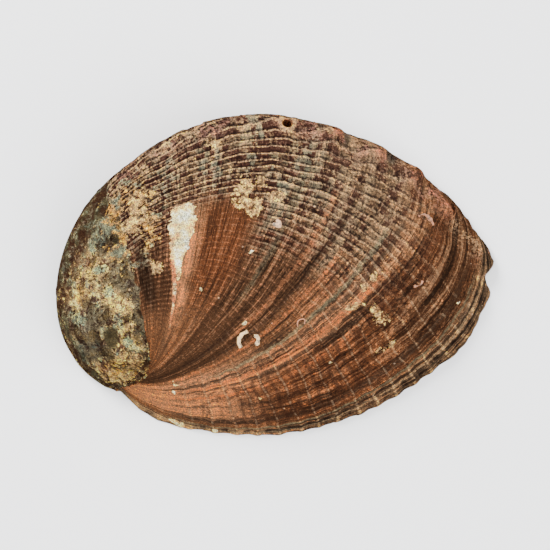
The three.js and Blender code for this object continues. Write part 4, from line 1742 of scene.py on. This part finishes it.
    def _seat(self, pore: Pore) -> tuple[Array, Array]:
        """A pore's place on the smooth dome, and the way it opens."""
        arm = np.array(pore.place) - np.array(self.dome.crown)
        azimuth = np.array([math.atan2(arm[1], arm[0])])
        share = np.minimum(np.hypot(*arm) / self.dome.radius(azimuth), 0.97)
        tiny = 1e-3
        down = self.dome.outer(azimuth, share + tiny) - self.dome.outer(azimuth, share - tiny)
        around = self.dome.outer(azimuth + tiny, share) - self.dome.outer(azimuth - tiny, share)
        axis = np.cross(down, around)[0]
        axis = axis / np.linalg.norm(axis) + np.array([0, 0, pore.lift])
        return self.dome.outer(azimuth, share)[0], axis / np.linalg.norm(axis)

    def _raise_collar(self, points: Array, pore: Pore) -> None:
        """Lifts the skin round a pore into a collar, with a fold that climbs to it.

        Args:
            points: The shell's places, changed in place.
            pore: The pore.
        """
        seat, axis = self._seat(pore)
        outer = slice(0, self.outer_rings * self.sectors)
        arm = points[outer] - seat
        along = arm @ axis
        radial = np.linalg.norm(arm - along[:, None] * axis, axis=1)
        if pore.kind is PoreKind.FILLED:
            lift = pore.height * (hill(radial, 1.9) - 0.7 * hill(radial, 0.8))
        else:
            collar = 1 - ease((radial - self.collar_radius) / self.collar_slope)
            lift = 0.45 * collar + pore.height * self._fold(arm, axis)
        near = np.hypot(*arm[:, :2].T) < self.collar_reach
        points[outer] += np.where(near, lift, 0)[:, None] * axis

    def _fold(self, arm: Array, axis: Array) -> Array:
        """The fold that climbs to a pore and drops behind it, and the saddle to the next pore.

        Args:
            arm: Places, measured from the pore.
            axis: The way the pore opens.

        Returns:
            How far each place is lifted, as a share of the pore's height.
        """
        out = axis[:2] / np.hypot(*axis[:2])
        inward = -(arm[:, :2] @ out)
        beside = arm[:, 0] * out[1] - arm[:, 1] * out[0]
        climb = ease((beside + self.fold_rise) / self.fold_rise) ** 1.4
        drop = 1 - ease((beside - 0.4) / self.fold_fall)
        fold = climb * drop * hill(inward - 0.9, self.fold_width)
        away = np.hypot((beside - self.saddle_place) / 2.2, (inward - 0.8) / 2.0)
        return fold - self.saddle_depth * hill(away, 1.0)

    def _raise_notch(self, points: Array) -> None:
        """Arches the front lip over the pore that is still forming, in place."""
        away = np.hypot(
            (points[:, 0] - self.notch_place[0]) / 2.0, points[:, 1] - self.notch_place[1]
        )
        points[:, 2] += self.notch_height * hill(away, self.notch_width)

    def _spread(self, grid: Array, ring: Array, sector: Array) -> Array:
        """The grid's places in the order of the sphere's points, with both poles."""
        points = np.zeros((len(ring), 3))
        body = (ring > 0) & (ring <= self.rings)
        points[body] = grid[ring[body] - 1, sector[body]]
        points[ring == 0] = grid[0].mean(axis=0)
        points[ring == self.rings + 1] = grid[-1].mean(axis=0)
        return points

    def _layers(self, shell: bpy.types.Object, ring: Array) -> None:
        """Gives each face its surface's material slot and smooth shading."""
        mesh = shell.data
        corners = np.zeros(len(mesh.loops), dtype=np.int32)
        mesh.loops.foreach_get("vertex_index", corners)
        starts = np.zeros(len(mesh.polygons), dtype=np.int32)
        mesh.polygons.foreach_get("loop_start", starts)
        lowest = np.minimum.reduceat(ring[corners], starts)
        slot = np.full(len(starts), Layer.SKIN.value, dtype=np.int32)
        slot[lowest >= self.outer_rings] = Layer.EDGE.value
        slot[lowest >= self.outer_rings + self.edge_rings // 2] = Layer.PEARL.value
        for finish in (
            SkinFinish().make(),
            EdgeFinish("layered_edge", seen(120, 98, 74), seen(200, 190, 168)).make(),
            PearlFinish().make(),
        ):
            mesh.materials.append(finish)
        mesh.polygons.foreach_set("material_index", slot)
        mesh.polygons.foreach_set("use_smooth", np.ones(len(starts), dtype=bool))

    def _marks(self, skin: Skin, ring: Array, sector: Array) -> dict[str, Array]:
        """The numbers that the finishes read.

        Args:
            skin: What is known about the grid's points.
            ring: The ring of each of the sphere's points.
            sector: The sector of each of them.

        Returns:
            The marks by name, in the order of the sphere's points.
        """
        zones = self.relief.zones
        finds = (zones.worn, zones.scar, zones.crust, zones.calm, zones.pit, zones.flush)
        fields = {find.__name__: find(skin) for find in finds} | {
            "stage": skin.stage,
            "across": skin.across,
            "cord": skin.cord,
            "keel": self._keel_mark(skin),
            "tip": self._tip_mark(skin),
            "ring": self._ring_mark(skin),
        } | {stain.value: self.relief.stain(skin, stain) for stain in StainOrShade}
        row = np.clip(ring - 1, 0, self.rings - 1)
        index = row * self.sectors + sector
        return {name: values[index] for name, values in fields.items()}

    def _keel_mark(self, skin: Skin) -> Array:
        """1 on the pore row, for its orange and pink colours."""
        away = np.where(skin.side > 0, skin.side, (skin.across - 1) * skin.length)
        return hill(away + 0.6, 1.8) * (skin.stage < 7)

    def _tip_mark(self, skin: Skin) -> Array:
        """1 on the collars of the open pores."""
        mark = np.zeros(len(skin.points))
        for pore in self.pores:
            if pore.kind is PoreKind.OPEN:
                away = np.hypot(*(skin.points[:, :2] - np.array(pore.place)).T)
                mark = np.maximum(mark, hill(away, 1.9))
        return mark

    def _ring_mark(self, skin: Skin) -> Array:
        """1 on the pale rim of the pore that faces up."""
        away = np.hypot(*(skin.points[:, :2] - np.array(self.pores[0].place)).T)
        return window(away, 1.0, 2.1, 0.6)

    def _keep_marks(self, shell: bpy.types.Object, marks: dict[str, Array]) -> None:
        """Writes the marks to the mesh as point attributes."""
        for name, values in marks.items():
            made = shell.data.attributes.get(name)
            if made is None:
                made = shell.data.attributes.new(name, "FLOAT", "POINT")
            made.data.foreach_set("value", values.astype(np.float32))

    def _drill(self, shell: bpy.types.Object, fit: Fit) -> None:
        """Cuts the open pores through the wall and gives the new points their marks.

        Args:
            shell: The shell.
            fit: The way from millimetres to the frame.
        """
        cutter = self._drills(fit)
        before = self._tree(shell)
        marks = {
            layer.name: self._values(shell, layer.name)
            for layer in shell.data.attributes
            if layer.domain == "POINT" and layer.data_type == "FLOAT"
        }
        modifier = shell.modifiers.new("pores", "BOOLEAN")
        modifier.object = cutter
        modifier.operation = "DIFFERENCE"
        modifier.solver = "MANIFOLD"
        select_none()
        bpy.context.view_layer.objects.active = shell
        bpy.ops.object.modifier_apply(modifier=modifier.name)
        bpy.data.objects.remove(cutter)
        nearest = [before.find(vertex.co)[1] for vertex in shell.data.vertices]
        self._keep_marks(shell, {name: values[nearest] for name, values in marks.items()})

    def _drills(self, fit: Fit) -> bpy.types.Object:
        """One object of all the round cutters, standing on the pores' axes."""
        select_none()
        made = []
        for pore in self.pores:
            if pore.kind is not PoreKind.OPEN:
                continue
            seat, axis = self._seat(pore)
            middle = fit.place(seat - 2.0 * axis)
            bpy.ops.mesh.primitive_cone_add(
                vertices=40,
                radius1=0.9 * self.pore_radius * MM,
                radius2=1.12 * self.pore_radius * MM,
                depth=self.drill_length * MM,
                location=middle,
                rotation=Vector(axis).to_track_quat("Z", "Y").to_euler(),
            )
            made.append(bpy.context.object)
        for piece in made:
            piece.select_set(True)
        bpy.ops.object.join()
        cutter = bpy.context.object
        cutter.data.materials.append(
            EdgeFinish("pore_wall", seen(150, 140, 122), seen(96, 84, 70)).make()
        )
        return cutter

    def _tree(self, shell: bpy.types.Object) -> kdtree.KDTree:
        """A search tree over the shell's points."""
        tree = kdtree.KDTree(len(shell.data.vertices))
        for vertex in shell.data.vertices:
            tree.insert(vertex.co, vertex.index)
        tree.balance()
        return tree

    def _values(self, shell: bpy.types.Object, name: str) -> Array:
        """The values of one point attribute."""
        values = np.zeros(len(shell.data.vertices), dtype=np.float32)
        shell.data.attributes[name].data.foreach_get("value", values)
        return values


@dataclass(frozen=True)
class LimeFinish:
    """Hard white lime of small animals that lived on the shell."""

    name: str
    colour: Colour

    def make(self) -> bpy.types.Material:
        """Builds the material."""
        g = Graph(self.name)
        grain = g.noise(g.place(), 1400, 3)
        colour = g.mix(g.step(grain, 0.5, 0.36), self.colour, g.scaled(self.colour, 0.75))
        return g.finish(
            Base_Color=PRINT.develop(g, colour),
            Roughness=g.sum_of(0.45, g.times(grain, 0.3)),
            Normal=g.bump(grain, 0.00015),
            Specular_IOR_Level=0.25,
        )


@dataclass(frozen=True)
class Worm:
    """The lime tube of a worm: the places along it and its radius."""

    path: tuple[Spot, ...]
    radius: float
    finish: LimeFinish


WHITE_LIME = LimeFinish("white_lime", seen(226, 214, 192))
PINK_LIME = LimeFinish("pink_lime", seen(214, 178, 150))
GREY_LIME = LimeFinish("grey_lime", seen(220, 202, 182))


@dataclass
class LimeGrowths:
    """Worm tubes and one small round cup that are fixed to the outside of the shell."""

    disc_place: Spot = (0.4, 11.3)
    disc_radius: float = 1.05
    disc_height: float = 0.45
    lump_height: float = 0.34
    sunk: float = 0.22
    worms: tuple[Worm, ...] = (
        Worm(
            ((-6.2, -12.6), (-7.2, -13.1), (-7.9, -14.0), (-8.2, -15.0), (-7.7, -16.2)),
            0.48,
            WHITE_LIME,
        ),
        Worm(((-4.2, -13.5), (-3.8, -14.1), (-3.8, -14.8), (-4.2, -15.5)), 0.44, WHITE_LIME),
        Worm(
            ((32.3, 13.2), (33.2, 13.8), (34.4, 13.4), (35.3, 12.4), (35.7, 11.2)), 0.3, PINK_LIME
        ),
        Worm(((31.3, -2.3), (32.0, -2.6), (32.8, -2.1), (33.1, -1.3)), 0.28, PINK_LIME),
        Worm(
            ((5.0, -11.6), (5.0, -10.5), (5.8, -9.8), (6.8, -9.9), (6.6, -10.9)), 0.22, PINK_LIME
        ),
    )

    def build(self, shell: bpy.types.Object) -> bpy.types.Object:
        """Makes all the growths as one piece.

        Args:
            shell: The shell that they are fixed to.

        Returns:
            The piece.
        """
        parts = [self._disc(shell)] + [self._tube(shell, worm) for worm in self.worms]
        select_none()
        for part in parts:
            part.select_set(True)
        bpy.context.view_layer.objects.active = parts[0]
        bpy.ops.object.join()
        piece = bpy.context.object
        piece.name = piece.data.name = "lime_growths"
        self._roughen(piece)
        return piece

    def _roughen(self, piece: bpy.types.Object) -> None:
        """Makes the growths a little lumpy, in place."""
        mesh = piece.data
        spots, ways = (np.zeros(len(mesh.vertices) * 3) for _ in range(2))
        mesh.vertices.foreach_get("co", spots)
        mesh.vertices.foreach_get("normal", ways)
        spots, ways = spots.reshape(-1, 3), ways.reshape(-1, 3)
        lumps = self.lump_height * MM * Grain(97).layers(spots / MM, 0.9, 2)
        mesh.vertices.foreach_set("co", (spots + lumps[:, None] * ways).ravel())
        mesh.update()

    def _top(self, shell: bpy.types.Object, spot: Spot) -> Vector:
        """The shell's outer face above a place given in millimetres."""
        start = Vector((spot[0] * MM, spot[1] * MM, 0.1))
        _, place, _, _ = shell.ray_cast(start, Vector((0, 0, -1)))
        return place

    def _disc(self, shell: bpy.types.Object) -> bpy.types.Object:
        """The round cup, a flattened ball half sunk into the skin."""
        select_none()
        place = self._top(shell, self.disc_place)
        bpy.ops.mesh.primitive_uv_sphere_add(segments=32, ring_count=16, radius=1, location=place)
        disc = bpy.context.object
        radius = self.disc_radius * MM
        disc.scale = (radius, radius, self.disc_height * MM)
        bpy.ops.object.transform_apply(location=True, rotation=True, scale=True)
        bpy.ops.object.shade_smooth()
        disc.data.materials.append(GREY_LIME.make())
        return disc

    def _tube(self, shell: bpy.types.Object, worm: Worm) -> bpy.types.Object:
        """One worm tube, which follows the skin.

        Args:
            shell: The shell that it lies on.
            worm: The places along it, its radius and its finish.

        Returns:
            The tube, as a mesh.
        """
        select_none()
        bpy.ops.curve.primitive_nurbs_path_add(radius=1, location=(0, 0, 0))
        tube = bpy.context.object
        spline = tube.data.splines[0]
        spline.points.add(max(0, len(worm.path) - len(spline.points)))
        spots = list(worm.path) + [worm.path[-1]] * (len(spline.points) - len(worm.path))
        for point, spot in zip(spline.points, spots):
            place = self._top(shell, spot) + Vector((0, 0, (worm.radius - self.sunk) * MM))
            point.co = (*place, 1)
        spline.order_u = 3
        spline.use_endpoint_u = True
        tube.data.resolution_u = 6
        tube.data.bevel_depth = worm.radius * MM
        tube.data.bevel_resolution = 3
        tube.data.use_fill_caps = True
        bpy.ops.object.convert(target="MESH")
        bpy.ops.object.shade_smooth()
        tube.data.materials.append(worm.finish.make())
        return bpy.context.object


@dataclass(frozen=True)
class Lamp:
    """One soft lamp: its name, place, size and power."""

    name: str
    place: tuple[float, float, float]
    size: float
    power: float


@dataclass(frozen=True)
class Studio:
    """The floor, the lights and the camera."""

    floor_size: float = 6.0
    lens: float = 300.0
    sensor: float = 36.0
    view_width: float = 0.1253
    edge_height: float = 0.003
    lamps: tuple[Lamp, ...] = (
        Lamp("key_light", (-0.5, 0.6, 0.7), 0.35, 25.0),
        Lamp("fill_light", (0.7, -0.45, 0.7), 0.9, 19.0),
        Lamp("top_light", (0.0, 0.0, 1.3), 1.2, 14.0),
    )
    sky: Colour = (0.9, 0.93, 1.0)
    sky_strength: float = 0.75

    def build(self) -> None:
        """Lays the floor, hangs the lamps and sets up the camera."""
        self._floor()
        for lamp in self.lamps:
            self._light(lamp)
        self._world()
        self._camera()

    def _floor(self) -> None:
        """A wide flat floor under the shell."""
        select_none()
        bpy.ops.mesh.primitive_plane_add(size=self.floor_size)
        floor = bpy.context.object
        floor.name = "floor"
        floor.data.materials.append(FloorFinish().make())

    def _light(self, lamp: Lamp) -> None:
        """One square lamp that faces the shell."""
        bpy.ops.object.light_add(type="AREA", location=lamp.place)
        light = bpy.context.object
        light.name = lamp.name
        light.data.energy = lamp.power
        light.data.size = lamp.size
        light.rotation_euler = (-Vector(lamp.place)).to_track_quat("-Z", "Y").to_euler()

    def _world(self) -> None:
        """A plain, even sky."""
        world = bpy.data.worlds.new("soft_sky")
        world.use_nodes = True
        sky = world.node_tree.nodes["Background"]
        sky.inputs["Color"].default_value = (*self.sky, 1.0)
        sky.inputs["Strength"].default_value = self.sky_strength
        bpy.context.scene.world = world

    def _camera(self) -> None:
        """A camera straight above the shell, as in the photograph."""
        distance = self.view_width * self.lens / self.sensor
        bpy.ops.object.camera_add(location=(0, 0, self.edge_height + distance), rotation=(0, 0, 0))
        camera = bpy.context.object
        camera.name = "camera"
        camera.data.lens = self.lens
        camera.data.sensor_width = self.sensor
        bpy.context.scene.camera = camera


def main() -> None:
    """Builds the shell and its surroundings."""
    logging.basicConfig(level=logging.INFO, format="%(name)s: %(message)s")
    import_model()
    node = "shell"
    shell = Shell().build(node)
    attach(shell, "root")
    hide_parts(node)
    growths = LimeGrowths().build(shell)
    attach(growths, "root")
    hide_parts(node)
    mesh = shell.data
    log.info("shell with %d points and %d faces", len(mesh.vertices), len(mesh.polygons))
    Studio().build()
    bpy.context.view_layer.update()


if __name__ == "__main__":
    main()
